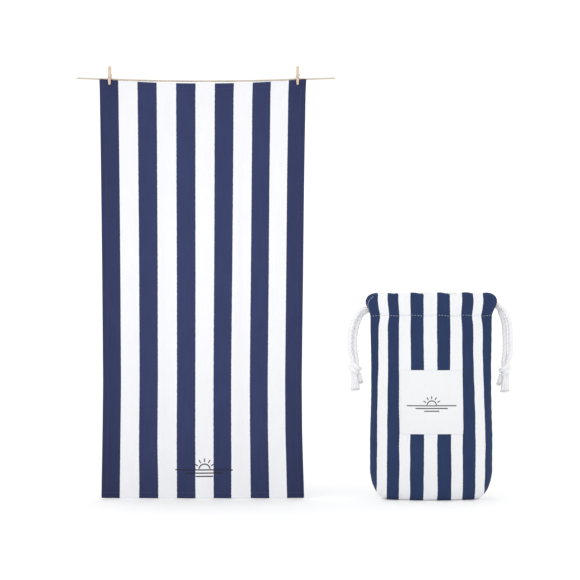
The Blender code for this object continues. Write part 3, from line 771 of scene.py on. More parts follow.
def stitch_row(name, points, pitch, length, radius, lift_end, mat, body, cads, seed=0, counts=None):
    """A row of separate thread stitches along a line of (point, outward normal)."""
    rnd = np.random.default_rng(seed)
    pos = [Vector(p) for p, _ in points]
    nor = [Vector(n) for _, n in points]
    lens = [0.0]
    for a, b in zip(pos, pos[1:]):
        lens.append(lens[-1] + (b - a).length)

    def at(d):
        d = min(max(d, 0.0), lens[-1])
        k = min(int(np.searchsorted(lens, d, side="right")) - 1, len(pos) - 2)
        f = (d - lens[k]) / max(lens[k + 1] - lens[k], 1e-9)
        return pos[k].lerp(pos[k + 1], f), nor[k].lerp(nor[k + 1], f).normalized()

    V, F, U = [], [], []
    d = 0.4 * pitch
    segs, sides = 7, 6
    while d + length < lens[-1]:
        start = len(V)
        jitter = rnd.normal(0, 0.03) * length
        for k in range(segs):
            f = k / (segs - 1)
            p, n = at(d + jitter + length * f)
            q, _ = at(d + jitter + length * f + 1e-4)
            t = (q - p).normalized()
            s = t.cross(n).normalized()
            arch = math.sin(math.pi * f)
            r = radius * (0.55 + 0.45 * min(1.0, 2.2 * arch))
            c = p + n * (-lift_end + (lift_end + radius * 0.75) * arch ** 0.6)
            for a in range(sides):
                ang = 2 * math.pi * a / sides
                V.append(tuple(c + (n * math.cos(ang) + s * math.sin(ang)) * r))
                if counts is not None:
                    U.append(float(np.interp(d + jitter + length * f, lens, counts)))
        for k in range(segs - 1):
            for a in range(sides):
                b = (a + 1) % sides
                F.append((start + k * sides + a, start + (k + 1) * sides + a, start + (k + 1) * sides + b, start + k * sides + b))
        F.append(tuple(start + a for a in range(sides)))
        F.append(tuple(start + (segs - 1) * sides + a for a in reversed(range(sides))))
        d += pitch
    me = bpy.data.meshes.new(name)
    me.from_pydata(V, [], F)
    if counts is not None:
        layer = me.uv_layers.new(name="cloth")
        for loop in me.loops:
            layer.data[loop.index].uv = (U[loop.vertex_index], 0.0)
    me.update()
    me.shade_smooth()
    ob = link(bpy.data.objects.new(name, me))
    set_material(ob, mat)
    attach(ob, body)
    if cads:
        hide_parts(*cads)
    return ob


def towel_thread_material():
    """Thread sewn before the stripes were printed, so it takes the stripe's colour."""
    N = Nodes("towel_thread")
    P = N.obj()
    uv, u, v = N.uv()
    navy = N.smooth(N.m("PINGPONG", N.m("ADD", u, 0.5), 1.0), 0.47, 0.53)
    f = N.noise(P, 2200.0, 3.0)
    col = N.mix(navy, (0.84, 0.845, 0.87, 1), (0.075, 0.088, 0.19, 1))
    col = N.tint(col, N.m("ADD", 0.85, N.m("MULTIPLY", f, 0.3)))
    return N.finish(col, 0.8, N.bump(f, 0.0001, 0.4), spec=0.25)


def make_towel_threads(grid):
    mat = towel_thread_material()
    hv, hu = 0.0105 / TOWEL_H, 0.0105 / TOWEL_W
    def row(uvs):
        out = []
        for u, v in uvs:
            p = towel_surface(grid, u, v, -0.0005)
            q = towel_surface(grid, u, v, -0.0015)
            out.append((p, (q - p).normalized()))
        return out
    us = steps(0.03, 0.97, 160)
    stitch_row("towel_stitches_top", row([(u, hv) for u in us]), 0.0034, 0.0026, 0.00022, 0.0002,
               mat, "towel", ["towel_thread_top"], 1, [stripe_at(u) for u in us])
    us = steps(0.012, 0.988, 160)
    stitch_row("towel_stitches_bottom", row([(u, 1 - hv) for u in us]), 0.0034, 0.0026, 0.00022, 0.0002,
               mat, "towel", ["towel_thread_bottom"], 2, [stripe_at(u) for u in us])
    for name, u, seed in (("left", hu, 3), ("right", 1 - hu, 4)):
        vs = steps(0.02, 0.98, 260)
        stitch_row("towel_stitches_" + name, row([(u, v) for v in vs]), 0.0034, 0.0026, 0.00022, 0.0002,
                   mat, "towel", [], seed, [stripe_at(u)] * len(vs))


# ------------------------------------------------------------------ pegs
def leg_outline(inner, sign):
    tip = PEG_TIP_Z - PEG_PIVOT_Z
    top = PEG_TOP_Z - PEG_PIVOT_Z
    axis_y = 0.5 * (JAW_FRONT_Y + JAW_BACK_Y)
    jaw = abs(inner - axis_y)
    notch = COIL_R + WIRE_R + 0.0003
    close = 0.0016
    lip = math.sqrt(notch ** 2 - close ** 2)
    pts = [(jaw + 0.0006, tip), (jaw, tip + 0.0012), (jaw, -0.0052)]
    a0, a1 = math.atan2(-lip, close), math.atan2(lip, close)
    pts.append((close + 0.0006, -lip - 0.0004))
    for k in range(13):
        a = a0 + (a1 - a0) * k / 12
        pts.append((notch * math.cos(a), notch * math.sin(a)))
    pts += [(close + 0.0004, lip + 0.0006), (0.0044, top - 0.0008), (0.0050, top)]
    pts += [(0.0070, top), (0.0076, top - 0.0008), (0.0073, 0.0060), (0.0072, 0.0)]
    pts += [(0.0074, -0.0040), (0.0068, -0.0046), (0.0068, -0.0056), (0.0074, -0.0062)]
    pts += [(0.0072, -0.0090), (jaw + 0.0020, tip + 0.0010), (jaw + 0.0014, tip)]
    return [(sign * y, z) for y, z in pts]


def make_leg(name, x, inner, sign, body, cad):
    pivot = Vector((x, 0.5 * (JAW_FRONT_Y + JAW_BACK_Y), PEG_PIVOT_Z))
    pts = leg_outline(inner, sign)
    me = bpy.data.meshes.new(name)
    bm = bmesh.new()
    ring = [bm.verts.new(pivot + Vector((-PEG_W / 2, y, z))) for y, z in pts]
    face = bm.faces.new(ring)
    ext = bmesh.ops.extrude_face_region(bm, geom=[face])
    bmesh.ops.translate(bm, vec=(PEG_W, 0, 0), verts=[g for g in ext["geom"] if isinstance(g, bmesh.types.BMVert)])
    bmesh.ops.recalc_face_normals(bm, faces=bm.faces)

    def cut(point, normal, keep_below):
        geom = bm.verts[:] + bm.edges[:] + bm.faces[:]
        bmesh.ops.bisect_plane(bm, geom=geom, dist=1e-7, plane_co=point, plane_no=normal, clear_outer=keep_below)
        if keep_below:
            rim = [e for e in bm.edges if len(e.link_faces) == 1]
            if rim:
                bmesh.ops.holes_fill(bm, edges=rim, sides=0)

    # below the wire's groove the leg narrows, and the corners of its tip are cut off
    waist, foot = PEG_PIVOT_Z - 0.0080, PEG_TIP_Z
    cut(Vector((x, 0, waist)), Vector((0, 0, 1)), False)
    for v in bm.verts:
        if v.co.z < waist - 1e-6:
            v.co.x = x + (v.co.x - x) * (1 - 0.28 * (waist - v.co.z) / (waist - foot))
    for sx in (-1, 1):
        cut(Vector((x + sx * 0.00105, 0, foot)), Vector((sx * 0.80, 0, -0.60)), True)
    for sx in (-1, 1):
        cut(Vector((x + sx * 0.0020, 0, PEG_TOP_Z)), Vector((sx * 0.70, 0, 0.72)), True)
    bmesh.ops.recalc_face_normals(bm, faces=bm.faces)
    bm.to_mesh(me)
    bm.free()
    ob = link(bpy.data.objects.new(name, me))
    bev = ob.modifiers.new("b", "BEVEL")
    bev.width, bev.segments, bev.limit_method, bev.angle_limit = 0.00028, 3, "ANGLE", math.radians(28)
    apply_modifiers(ob)
    ob.data.shade_smooth()
    ob.data.set_sharp_from_angle(angle=math.radians(45))
    set_material(ob, MAT_WOOD)
    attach(ob, body)
    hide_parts(cad)
    return ob


def wire(name, pts, body, cad):
    data = bpy.data.curves.new(name, "CURVE")
    data.dimensions = "3D"
    data.bevel_depth = WIRE_R
    data.bevel_resolution = 4
    data.use_fill_caps = True
    sp = data.splines.new("POLY")
    sp.points.add(len(pts) - 1)
    for p, co in zip(sp.points, pts):
        p.co = (co[0], co[1], co[2], 1)
    tmp = link(bpy.data.objects.new(name + "_tmp", data))
    dg = bpy.context.evaluated_depsgraph_get()
    me = bpy.data.meshes.new_from_object(tmp.evaluated_get(dg))
    bpy.data.objects.remove(tmp)
    bm = bmesh.new()
    bm.from_mesh(me)
    bmesh.ops.remove_doubles(bm, verts=bm.verts, dist=1e-6)
    bm.to_mesh(me)
    bm.free()
    me.name = name
    me.shade_smooth()
    ob = link(bpy.data.objects.new(name, me))
    set_material(ob, MAT_STEEL)
    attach(ob, body)
    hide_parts(cad)
    return ob


def make_peg(side, x):
    pivot = Vector((x, 0.5 * (JAW_FRONT_Y + JAW_BACK_Y), PEG_PIVOT_Z))
    make_leg("peg_%s_rear_wood" % side, x, JAW_BACK_Y, 1, "towel", "peg_%s_back_leg" % side)
    make_leg("peg_%s_front_wood" % side, x, JAW_FRONT_Y, -1, "peg_%s_jaw" % side, "peg_%s_front_leg" % side)
    half = PEG_W / 2 + 0.0009
    reach = 0.0068 + WIRE_R + 0.0001
    coil = []
    n = COIL_TURNS * 20
    for k in range(n - 1):
        a = 2 * math.pi * COIL_TURNS * k / n
        coil.append(Vector((half - 2 * half * k / n, -COIL_R * math.cos(a), COIL_R * math.sin(a))))
    arm = smooth_path([coil[-1], (-half - 0.0001, COIL_R * 0.2, -COIL_R * 0.95), (-half - 0.0001, COIL_R * 0.9, -COIL_R * 1.10),
                       (-half - 0.0001, reach - 0.0016, -0.0042), (-half + 0.0001, reach - 0.0004, -0.0049),
                       (-half + 0.0009, reach, -0.0051), (0.0, reach, -0.0051), (half - 0.0014, reach, -0.0051)], 22)
    wire("peg_%s_coil" % side, [pivot + p for p in coil[:-1] + arm[1:]], "towel", "peg_%s_spring" % side)
    arm = smooth_path([(half + 0.0010, -COIL_R * 0.30, COIL_R * 0.55), (half + 0.0012, -COIL_R * 0.75, -COIL_R * 0.35),
                       (half + 0.0012, -reach + 0.0018, -0.0040), (half + 0.0010, -reach + 0.0004, -0.0049),
                       (half + 0.0002, -reach, -0.0051), (0.0, -reach, -0.0051), (-half + 0.0014, -reach, -0.0051)], 24)
    wire("peg_%s_wire" % side, [pivot + Vector(p) for p in arm], "peg_%s_jaw" % side, "peg_%s_spring_arm" % side)


# ------------------------------------------------------------------ pouch
def pouch_half_width(z):
    if z < CORNER_RZ:
        return HALF_W - CORNER_RX + CORNER_RX * math.sqrt(max(1 - (1 - z / CORNER_RZ) ** 2, 0.0))
    body = HALF_W - 0.0024 * math.sin(math.pi * min(max((z - 0.12) / 0.23, 0.0), 1.0))
    if z < NECK_Z:
        return body - 0.0009 * ease((z - 0.30) / 0.05)
    neck = HALF_W - 0.0009
    ear = neck + (EAR_W - neck) * ease((z - NECK_Z) / 0.026)
    top = min(max((z - 0.377) / (TOP_Z - 0.377), 0.0), 1.0)
    return ear - 0.0190 * (1 - math.sqrt(max(1 - top ** 2, 0.0)))


def pouch_half_depth(z):
    if z < 0.03:
        t = z / 0.03
        return BASE_D + (0.040 - BASE_D) * math.sqrt(max(1 - (1 - t) ** 2, 0.0))
    if z < 0.12:
        return 0.040 + (BODY_D - 0.040) * ease((z - 0.03) / 0.09 * 0.5 + 0.5) * 2 - (BODY_D - 0.040)
    if z < NECK_Z:
        return BODY_D + (MOUTH_D - BODY_D) * ease((z - 0.12) / (NECK_Z - 0.12))
    return MOUTH_D


def pouch_section(s, z, side, shrink=0.0):
    power = 2.0 + 2.0 * ease((z - 0.31) / 0.045)
    belly = max(1 - abs(s) ** power, 0.0) ** (1 / power)
    slot = EDGE_OPEN * ease((z - NECK_Z) / 0.008)
    depth = pouch_half_depth(z)
    y = 0.0001 + slot + max(depth - slot, 0.0) * belly
    return Vector((POUCH_X + pouch_half_width(z) * s, side * (y - shrink), POUCH_Z + z))


EDGE_COUNT = (0.0, 0.5, 1.5, 2.5, 3.5, 4.5, 5.5)
EDGE_HIGH = (0.0, 0.0125, 0.0374, 0.0602, 0.0812, 0.0989, 0.1160)
EDGE_LOW = (0.0, 0.0128, 0.0390, 0.0599, 0.0841, 0.1029, 0.1195)


def stripe_count(x, z):
    """How many stripes lie to the left of x, at height z on the pouch."""
    low = ease((0.30 - z) / 0.20)
    x = x + 0.0026 * (1 - low) + (0.0018 + 0.0024 * math.exp(-(x / 0.066) ** 4)) * low
    stops = [h + (l - h) * low for h, l in zip(EDGE_HIGH, EDGE_LOW)]
    return min(max(5.5 + math.copysign(float(np.interp(abs(x), stops, EDGE_COUNT)), x), 0.04), 10.96)


def pouch_wrinkle(x, z, side):
    """Outward relief of the cotton, in metres: gathers at the casing, soft folds and seam puckers."""
    d = 0.0
    neck_low = math.exp(-(max(NECK_Z - z, 0.0) / 0.045) ** 2) if z < NECK_Z else math.exp(-((z - NECK_Z) / 0.012) ** 2)
    wave = math.sin(2 * math.pi * x / 0.031 + 2.2 * noise.noise(Vector((x * 18, side * 3.0, 0.5))) + side)
    d += 0.0011 * neck_low * wave
    d += 0.0016 * noise.noise(Vector((x * 22, z * 5, side * 9.0 + 2.0)))
    d += 0.0007 * noise.noise(Vector((x * 55, z * 14, side * 5.0)))
    d += 0.00022 * noise.noise(Vector((x * 150, z * 60, side * 7.0)))
    # the stitch line pulls the cloth in
    d -= 0.0013 * math.exp(-((z - NECK_Z + 0.0005) / 0.0022) ** 2)
    # the two cords fill the casing out
    if z > NECK_Z:
        d += 0.0010 * math.exp(-((z - 0.3735) / 0.012) ** 2)
        d += 0.0006 * noise.noise(Vector((x * 40, z * 30, side * 2.0 + 8)))
    # seam puckers at the sides and round the bottom corners
    w = pouch_half_width(min(z, NECK_Z))
    near = max(w - abs(x), 0.0)
    pull = math.exp(-near / 0.012) * (1.0 if z < NECK_Z else 0.3)
    d += 0.0005 * pull * math.sin(2 * math.pi * z / 0.023 + 5.0 * noise.noise(Vector((z * 21, x * 8, side))))
    return d


def make_pouch_shell(name, side, cads):
    nu = 150
    angs = [math.pi / 2 * t for t in steps(-1, 1, nu)]
    zs = []
    base_rows = steps(0.0, 1.0, 7)
    body = [0.0012, 0.003, 0.006, 0.0095, 0.0135, 0.018, 0.023, 0.0285, 0.034] + steps(0.040, NECK_Z - 0.012, 84)
    body += steps(NECK_Z - 0.010, NECK_Z + 0.008, 18)[0:] + steps(NECK_Z + 0.0095, TOP_Z - 0.0046, 26)
    P, UV = [], []
    wave_top = lambda x: 0.0012 * math.sin(2 * math.pi * x / 0.052 + 0.8 + side) + 0.0014 * noise.noise(Vector((x * 40, 4.0, side)))

    def outer(a, z, dfac=1.0):
        s = math.sin(a)
        p = pouch_section(s, z, side)
        h = 1e-3
        pa = pouch_section(math.sin(min(a + h, math.pi / 2)), z, side) - pouch_section(math.sin(max(a - h, -math.pi / 2)), z, side)
        pz = pouch_section(s, min(z + 5e-4, TOP_Z), side) - pouch_section(s, max(z - 5e-4, 0.0), side)
        n = pa.cross(pz) * (1 if side < 0 else -1)
        if n.length < 1e-12:
            n = Vector((0, side, 0))
        n.normalize()
        if n.y * side < -0.2:
            n.negate()
        x = p.x - POUCH_X
        seam = 1.0 - 0.85 * math.exp(-((1 - abs(s)) / 0.012))
        p = p + n * pouch_wrinkle(x, z, side) * dfac * seam
        # the side seam draws a fine groove
        p.x -= math.copysign(0.0007, s) * math.exp(-((1 - abs(s)) / 0.006)) * (1 if z < NECK_Z else 0)
        return p, x

    def stripe_uv(x, z):
        wob = 0.055 * noise.noise(Vector((x * 14, z * 9, side * 4.0))) + 0.035 * noise.noise(Vector((x * 40, z * 34, side * 6.0)))
        pull = math.exp(-((z - NECK_Z + 0.001) / 0.012) ** 2) - 0.55 * math.exp(-((z - NECK_Z - 0.030) / 0.010) ** 2)
        pinch = 0.17 * pull * min((x / 0.105) ** 2, 1.0) * math.copysign(1, x)
        fade = min(1.0, (0.12 - min(abs(x), 0.12)) / 0.02)
        return min(max(stripe_count(x, z) + (wob + pinch) * fade, 0.04), 10.96)

    # flat the pouch stands on, from the bottom seam outwards
    for f in base_rows[:-1]:
        row, ruv = [], []
        for a in angs:
            s = math.sin(a)
            p = Vector((POUCH_X + pouch_half_width(0) * s, side * (0.0001 + BASE_D * f * math.cos(a)), POUCH_Z + 0.0002))
            row.append(p)
            ruv.append((stripe_uv(p.x - POUCH_X, 0.0), -0.026 * (1 - f)))
        P.append(row)
        UV.append(ruv)
    for z in [0.0003] + body:
        row, ruv = [], []
        for a in angs:
            p, x = outer(a, z, ease(z / 0.012))
            p.z = max(p.z, POUCH_Z + 0.0002)
            if z > 0.30:
                p.z += wave_top(x) * ease((z - 0.30) / 0.09)
            row.append(p)
            ruv.append((stripe_uv(x, z), z))
        P.append(row)
        UV.append(ruv)
    # over the top edge and down inside as the casing's inner wall
    last, last_uv = P[-1], UV[-1]
    z0 = TOP_Z - 0.0046
    arc = steps(0.0, 1.0, 8)[1:]
    for f in arc:
        row, ruv = [], []
        ang = math.pi * f
        for i, a in enumerate(angs):
            x = last[i].x - POUCH_X
            t = ease((abs(x) - 0.076) / 0.012)
            yo = abs(last[i].y)
            yi = 0.0093 * (1 - t) + 0.0009 * t
            yi = min(yi, yo - 0.0008)
            c, r = 0.5 * (yo + yi), 0.5 * (yo - yi)
            up = z0 + 0.0046 * math.sin(min(ang, math.pi / 2))
            narrow = x * (pouch_half_width(up) / pouch_half_width(z0) - 1) * ease((abs(x) - 0.070) / 0.035)
            row.append(Vector((last[i].x + narrow, side * (c + r * math.cos(ang)), POUCH_Z + z0 + wave_top(x) + 0.0046 * math.sin(ang))))
            ruv.append((stripe_uv(row[-1].x - POUCH_X, z0), z0 + 0.012 * f))
        P.append(row)
        UV.append(ruv)
    end, end_uv = P[-1], UV[-1]
    for f in steps(0.0, 1.0, 8)[1:]:
        row, ruv = [], []
        for i, a in enumerate(angs):
            x = end[i].x - POUCH_X
            L = (z0 - NECK_Z - 0.001) * (1 - ease((abs(x) - 0.074) / 0.008)) + 0.0006
            foot = 0.0065 * ease((f - 0.82) / 0.18) * (1 - ease((abs(x) - 0.072) / 0.008))
            row.append(Vector((end[i].x, end[i].y + side * foot, end[i].z - L * f + 0.0004 * math.sin(x * 120))))
            ruv.append((end_uv[i][0], z0 + 0.012 + L * f))
        P.append(row)
        UV.append(ruv)
    ob = grid_object(name, P, UV, flip=(side > 0))
    sol = ob.modifiers.new("t", "SOLIDIFY")
    sol.thickness, sol.offset, sol.use_even_offset = 0.0007, -1.0, False
    apply_modifiers(ob)
    ob.data.shade_smooth()
    set_material(ob, MAT_POUCH)
    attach(ob, "pouch")
    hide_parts(*cads)
    return ob, outer


def make_pouch():
    front, outer_f = make_pouch_shell("pouch_front_cloth", -1, ["pouch_front_panel", "pouch_front_casing"])
    back, outer_b = make_pouch_shell("pouch_back_cloth", 1, ["pouch_back_panel", "pouch_back_casing"])

    def normal_at(outer, a, z, side):
        p, x = outer(a, z)
        pa = outer(a + 0.01, z)[0] - outer(a - 0.01, z)[0]
        pz = outer(a, z + 0.001)[0] - outer(a, z - 0.001)[0]
        n = pa.cross(pz)
        n.normalize()
        if n.y * side < 0:
            n.negate()
        return p, n

    # stitch line of the casing, and the short curved rows that close the cord slots
    for tag, side, outer in (("front", -1, outer_f), ("back", 1, outer_b)):
        line = []
        for d in steps(-80, 80, 260):
            a = math.radians(d)
            p, n = normal_at(outer, a, NECK_Z - 0.0005, side)
            x = p.x - POUCH_X
            p.z += (0.0012 * math.sin(2 * math.pi * x / 0.052 + 0.8 + side) + 0.0014 * noise.noise(Vector((x * 40, 4.0, side)))) * ease((NECK_Z - 0.30) / 0.09)
            line.append((p, n))
        stitch_row("pouch_%s_stitches" % tag, line, 0.0058, 0.0041, 0.00034, 0.0003, MAT_THREAD, "pouch",
                   ["pouch_%s_casing_thread" % tag], 5 + side)
        for sgn in ((-1,) if side < 0 else (-1, 1)):
            row = []
            for f in steps(0.0, 1.0, 60):
                z = NECK_Z + 0.0108 + 0.0312 * f
                inset = 0.0014 + 0.0108 * f ** 1.8
                w = pouch_half_width(min(z, 0.3875))
                s = max(min((w - inset) / w, 0.995), 0.0)
                a = sgn * math.asin(s)
                zz = min(z, TOP_Z - 0.0050)
                p, n = normal_at(outer, a, zz, side)
                x = p.x - POUCH_X
                p.z += (0.0012 * math.sin(2 * math.pi * x / 0.052 + 0.8 + side) + 0.0014 * noise.noise(Vector((x * 40, 4.0, side)))) * ease((zz - 0.30) / 0.09)
                row.append((p, n))
            stitch_row("pouch_%s_ear_stitches_%s" % (tag, "left" if sgn < 0 else "right"), row, 0.0042, 0.0036, 0.00036, 0.0003,
                       MAT_THREAD, "pouch", [], 9 + sgn)

    # label: a flat woven patch that follows the front, with softly rounded edge
    nx, nz = 60, 60
    P, UV = [], []
    for j in range(nz + 1):
        z = LABEL_LOW + (LABEL_TOP - LABEL_LOW) * j / nz
        row, ruv = [], []
        for i in range(nx + 1):
            x = -LABEL_W - LABEL_SHIFT + 2 * LABEL_W * i / nx
            x += 0.0004 * noise.noise(Vector((z * 60, x * 9, 2.0)))
            a = math.asin(x / pouch_half_width(z))
            p, n = normal_at(outer_f, a, z, -1)
            edge = min(x + LABEL_SHIFT + LABEL_W, LABEL_W - x - LABEL_SHIFT, z - LABEL_LOW, LABEL_TOP - z)
            row.append(p + n * (0.0006 + 0.0004 * ease(edge / 0.004) - 0.0003 * math.exp(-((edge - 0.003) / 0.0009) ** 2)))
            ruv.append((x, z))
        P.append(row)
        UV.append(ruv)
    label = grid_object("pouch_label_patch", P, UV)
    sol = label.modifiers.new("t", "SOLIDIFY")
    sol.thickness, sol.offset, sol.use_even_offset = 0.0008, 0.3, False
    bev = label.modifiers.new("b", "BEVEL")
    bev.width, bev.segments, bev.limit_method, bev.angle_limit = 0.0002, 2, "ANGLE", math.radians(50)
    apply_modifiers(label)
    label.data.shade_smooth()
    set_material(label, MAT_LABEL)
    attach(label, "pouch")
    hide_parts("pouch_label")
    ring = []
    inset = 0.0030
    x0, x1, z0, z1 = -LABEL_W - LABEL_SHIFT + inset, LABEL_W - LABEL_SHIFT - inset, LABEL_LOW + inset, LABEL_TOP - inset
    loop = [(x, z0) for x in steps(x0, x1, 60)] + [(x1, z) for z in steps(z0, z1, 60)[1:]]
    loop += [(x, z1) for x in steps(x1, x0, 60)[1:]] + [(x0, z) for z in steps(z1, z0, 60)[1:]]
    for x, z in loop:
        a = math.asin(x / pouch_half_width(z))
        p, n = normal_at(outer_f, a, z, -1)
        ring.append((p + n * 0.00125, n))
    N = Nodes("label_thread")
    f = N.noise(N.obj(), 2200.0, 3.0)
    mat = N.finish(N.tint((0.80, 0.81, 0.84, 1), N.m("ADD", 0.85, N.m("MULTIPLY", f, 0.3))), 0.8, N.bump(f, 0.0001, 0.4), spec=0.25)
    stitch_row("pouch_label_stitches", ring, 0.0040, 0.0030, 0.00028, 0.0002, mat, "pouch", ["pouch_label_thread"], 14)

    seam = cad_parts["pouch_inner_seam"]
    seam.data.materials.clear()
    seam.data.materials.append(MAT_LINING)
    return front, back


# ------------------------------------------------------------------ drawcords
def cord_route(sign, level, knot_x, knot_z, draw_in):
    def drop(side):
        out = 0.0098 if side < 0 else 0.0
        up = (0.0040 if side < 0 else -0.0040) if sign < 0 else (-0.0016 if side < 0 else -0.0066)
        low = 0.0 if sign < 0 else (0.0030 if side < 0 else 0.0022)
        return [
            (sign * (knot_x - 0.0034 + out * 0.66), side * 0.0018, knot_z + 0.0070),
            (sign * (knot_x - 0.0036 + out * 0.76), side * 0.0024, knot_z + 0.0150),
            (sign * (knot_x - 0.0012 + out), side * 0.0036, knot_z + 0.030),
            (sign * (knot_x - 0.0006 + out), side * 0.0044, knot_z + 0.058),
            (sign * (knot_x - 0.0030 + out * 1.02), side * 0.0044, level - 0.040 - low * 0.5),
            (sign * (knot_x - 0.0095 + out * 0.98), side * 0.0046, level - 0.020 - low),
            (sign * (0.1315 + out * 0.32), side * 0.0050, level - 0.0078 + up - low),
            (sign * (0.1210 - draw_in), side * 0.0050, level - 0.0012 + up * 0.7),
            (sign * (0.1050 - draw_in), side * 0.0078, level + up * 0.2),
            (sign * (0.0890 - draw_in), side * 0.0134, level),
            (sign * (0.0790 - draw_in), side * 0.0148, level),
        ]
    front, back = drop(-1), drop(1)
    mid = [(sign * x, -0.0150, level) for x in (0.050, 0.020, -0.010, -0.040, -0.070, -0.088)]
    turn = []
    for k in range(9):
        a = math.pi * k / 8
        turn.append((-sign * (0.1010 + 0.0145 * math.sin(a)), -0.0147 * math.cos(a), level))
    ret = [(p[0], -p[1], p[2]) for p in reversed(mid)]
    return front + mid + turn + ret + list(reversed(back))


def fibres_at(name, base, direction, radius, count, length, rnd, mat):
    V, F = [], []
    d0 = direction.normalized()
    s0 = d0.orthogonal().normalized()
    u0 = d0.cross(s0)
    for k in range(count):
        a, q = rnd.uniform(0, 2 * math.pi), math.sqrt(rnd.uniform())
        off = (s0 * math.cos(a) + u0 * math.sin(a)) * q
        b = base + off * radius
        d = (d0 + off * rnd.uniform(0.15, 0.75) + Vector(rnd.normal(0, 0.12, 3))).normalized()
        L = length * rnd.uniform(0.55, 1.0)
        side = d.orthogonal().normalized()
        up = d.cross(side)
        curl = Vector(rnd.normal(0, 1, 3)) * L * 0.16
        r0 = rnd.uniform(0.00022, 0.00042)
        start = len(V)
        segs = 5
        for j in range(segs + 1):
            f = j / segs
            c = b + d * L * f + curl * f * f - Vector((0, 0, 1)) * L * 0.12 * f * f
            r = r0 * (1 - 0.55 * f)
            for s in range(4):
                t = 2 * math.pi * s / 4 + f * 2
                V.append(tuple(c + side * math.cos(t) * r + up * math.sin(t) * r))
        for j in range(segs):
            for s in range(4):
                s2 = (s + 1) % 4
                F.append((start + j * 4 + s, start + j * 4 + s2, start + (j + 1) * 4 + s2, start + (j + 1) * 4 + s))
        F.append((start + 3, start + 2, start + 1, start))
        F.append(tuple(start + segs * 4 + s for s in range(4)))
    me = bpy.data.meshes.new(name)
    me.from_pydata(V, [], F)
    me.update()
    me.shade_smooth()
    ob = link(bpy.data.objects.new(name, me))
    set_material(ob, mat)
    return ob


def make_drawcord(side, sign, level, knot_x, knot_z, draw_in):
    body = "drawcord_%s_body" % side
    route = [ORIGIN + Vector(p) for p in cord_route(sign, level, knot_x, knot_z, draw_in)]
    cord, line = twisted_tube("drawcord_%s_laid" % side, smooth_path(route, 400), 0.0050, 0.024, lobes=3, depth=0.13,
                              sides=24, ring=0.0014, seed=0.6 if sign < 0 else 1.9,
                              taper=lambda f: 1.0 - 0.21 * ease((min(f, 1 - f) - 0.125) / 0.035))
    set_material(cord, MAT_CORD)
    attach(cord, body)
    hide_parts("drawcord_%s" % side)
    # knot: the doubled cord wound once round itself on a slant, over the two strands inside
    c = ORIGIN + Vector((sign * knot_x, 0.0, knot_z))
    slant = Vector((0.82 * -sign, 0.0, -0.57))
    over = Vector((0.57 * -sign, 0.0, 0.82))
    parts = []
    for k, lift in enumerate((0.0041, -0.0041)):
        pts = []
        for i in range(40):
            f = i / 39
            a = math.radians(90 - 25) + f * math.radians(360 + 50)
            tuck = 1 - 0.45 * (1 - ease(min(f, 1 - f) / 0.10))
            pts.append(c + slant * (0.0084 * tuck * math.cos(a)) + Vector((0, 0.0066 * tuck * math.sin(a), 0))
                       + over * (lift + 0.0016 * (0.5 - f)))
        wrap, _ = twisted_tube("drawcord_%s_tied" % side if k == 0 else "knot_wrap", smooth_path(pts, 120), 0.0047, 0.026, lobes=3,
                               depth=0.15, sides=22, ring=0.0011, seed=0.3 + k)
        parts.append(wrap)
    for k, off in enumerate((0.0042, -0.0036)):
        inner, _ = twisted_tube("knot_inner", [c + Vector((off * 0.9, 0, 0.0128)), c + Vector((off, 0.0005, 0.004)),
                                               c + Vector((off, -0.0005, -0.004)), c + Vector((off * 1.1, 0, -0.0128))],
                                0.0047, 0.03, lobes=3, depth=0.15, sides=20, ring=0.0012, seed=1.0 + k)
        parts.append(inner)
    for ob in parts:
        set_material(ob, MAT_CORD)
    for o in bpy.context.selected_objects:
        o.select_set(False)
    knot = parts[0]
    for ob in parts:
        ob.select_set(True)
    bpy.context.view_layer.objects.active = knot
    bpy.ops.object.join()
    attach(knot, body)
    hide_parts("drawcord_%s_knot" % side)
    extra = [knot]
    rnd = np.random.default_rng(40 + sign)
    for name, out, y, length in (("outer", 0.0012, -0.0016, 0.0310), ("inner", -0.0082, 0.0018, 0.0180)):
        # the cut end lies open: its three strands part and splay
        strands, frays = [], []
        wide = name == "outer"
        for k in (-1, 0, 1):
            top = Vector((sign * (knot_x + out) + k * (0.0024 if wide else 0.0012), y + 0.0012 * (k == 0), knot_z - 0.0085))
            low = Vector((sign * (knot_x + out * (1.0 if wide else 1.30) - (0.0028 if wide else 0.0018)) + k * (0.0052 if wide else 0.0020),
                          y * 1.2 - 0.0008 * (k == 0), knot_z - 0.0122 - length + 0.0028 + 0.0006 * k))
            mid = (top + low) / 2 + Vector((k * 0.0004, 0.0008 * (k != 0), 0))
            strand, tl = twisted_tube("drawcord_%s_end_%s" % (side, name) if k == -1 else "strand", [ORIGIN + q for q in (top, mid, low)],
                                      0.0034 if wide else 0.0026, 0.012, lobes=4, depth=0.14, sides=18, ring=0.0010,
                                      taper=lambda f: 0.94 + 0.14 * f ** 2, seed=0.9 + k)
            set_material(strand, MAT_CORD)
            strands.append(strand)
            frays.append(fibres_at("drawcord_%s_fray_%s" % (side, name), tl[-1] - (tl[-1] - tl[-2]).normalized() * 0.0026, (tl[-1] - tl[-4]),
                                   0.0031 if wide else 0.0024, 70, 0.0056 if wide else 0.0048, rnd, MAT_FRAY))
        joined = []
        for group in (strands, frays):
            for o in bpy.context.selected_objects:
                o.select_set(False)
            for ob in group:
                ob.select_set(True)
            bpy.context.view_layer.objects.active = group[0]
            bpy.ops.object.join()
            joined.append(group[0])
        tail, fray = joined
        for ob in (tail, fray):
            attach(ob, body)
        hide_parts("drawcord_%s_tail_%s" % (side, name))
        extra += [tail, fray]
    return cord, line, extra


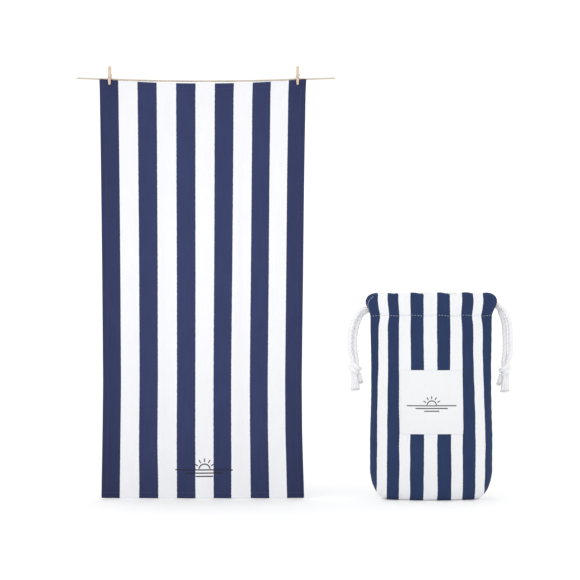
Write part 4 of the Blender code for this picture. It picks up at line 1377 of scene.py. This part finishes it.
N = Nodes("cotton_fray")
_f = N.noise(N.obj(), 420.0, 3.0)
MAT_FRAY = N.finish(N.tint((0.90, 0.90, 0.915, 1), N.m("ADD", 0.82, N.m("MULTIPLY", _f, 0.30))), 0.95, sheen=0.2, spec=0.1)

# ------------------------------------------------------------------ build
rope, rope_line = make_rope()
towel, tgrid = make_towel()
hems = make_hems(tgrid)
make_towel_threads(tgrid)
make_peg("left", PEG_X[0])
make_peg("right", PEG_X[1])
make_pouch()
left = make_drawcord("left", -1, CORD_LO, 0.1462, 0.2495, 0.0035)
right = make_drawcord("right", 1, CORD_HI, 0.1424, 0.2466, 0.0030)

for (cord, line, extra) in (left, right):
    print("cord length", path_length(line))

# ------------------------------------------------------------------ stage
floor_me = bpy.data.meshes.new("floor")
R = 9.0
floor_me.from_pydata([(-R, -R, 0), (R, -R, 0), (R, R, 0), (-R, R, 0)], [], [(0, 1, 2, 3)])
floor = link(bpy.data.objects.new("floor", floor_me))
floor.location = (0.16, 0.0, POUCH_Z - 0.0002)
NF = Nodes("floor_white")
set_material(floor, NF.finish((0.965, 0.965, 0.965, 1), 0.9, spec=0.05))

world = bpy.data.worlds.new("studio")
bpy.context.scene.world = world
world.use_nodes = True
bg = world.node_tree.nodes["Background"]
bg.inputs[0].default_value = (1, 1, 1, 1)
bg.inputs[1].default_value = 1.145


def area(name, loc, target, size, power, colour=(1, 1, 1)):
    d = bpy.data.lights.new(name, "AREA")
    d.shape = "RECTANGLE"
    d.size, d.size_y = size
    d.energy = power
    d.color = colour
    ob = link(bpy.data.objects.new(name, d))
    ob.location = loc
    ob.rotation_euler = (Vector(target) - Vector(loc)).to_track_quat("-Z", "Y").to_euler()
    return ob


area("key", (-1.5, -2.6, 1.3), (0.15, 0, -0.40), (1.8, 1.8), 5.5)
# a soft pool of light on the middle of the towel
pool = bpy.data.lights.new("pool", "SPOT")
pool.energy = 26.0
pool.spot_size, pool.spot_blend = 0.34, 1.0
pool.shadow_soft_size = 0.25
pool_ob = link(bpy.data.objects.new("pool", pool))
pool_ob.location = (0.05, -2.4, -0.20)
pool_ob.rotation_euler = (Vector((0.015, 0.0, -0.345)) - pool_ob.location).to_track_quat("-Z", "Y").to_euler()
bpy.context.scene.view_settings.view_transform = "Standard"
bpy.context.scene.view_settings.look = "None"
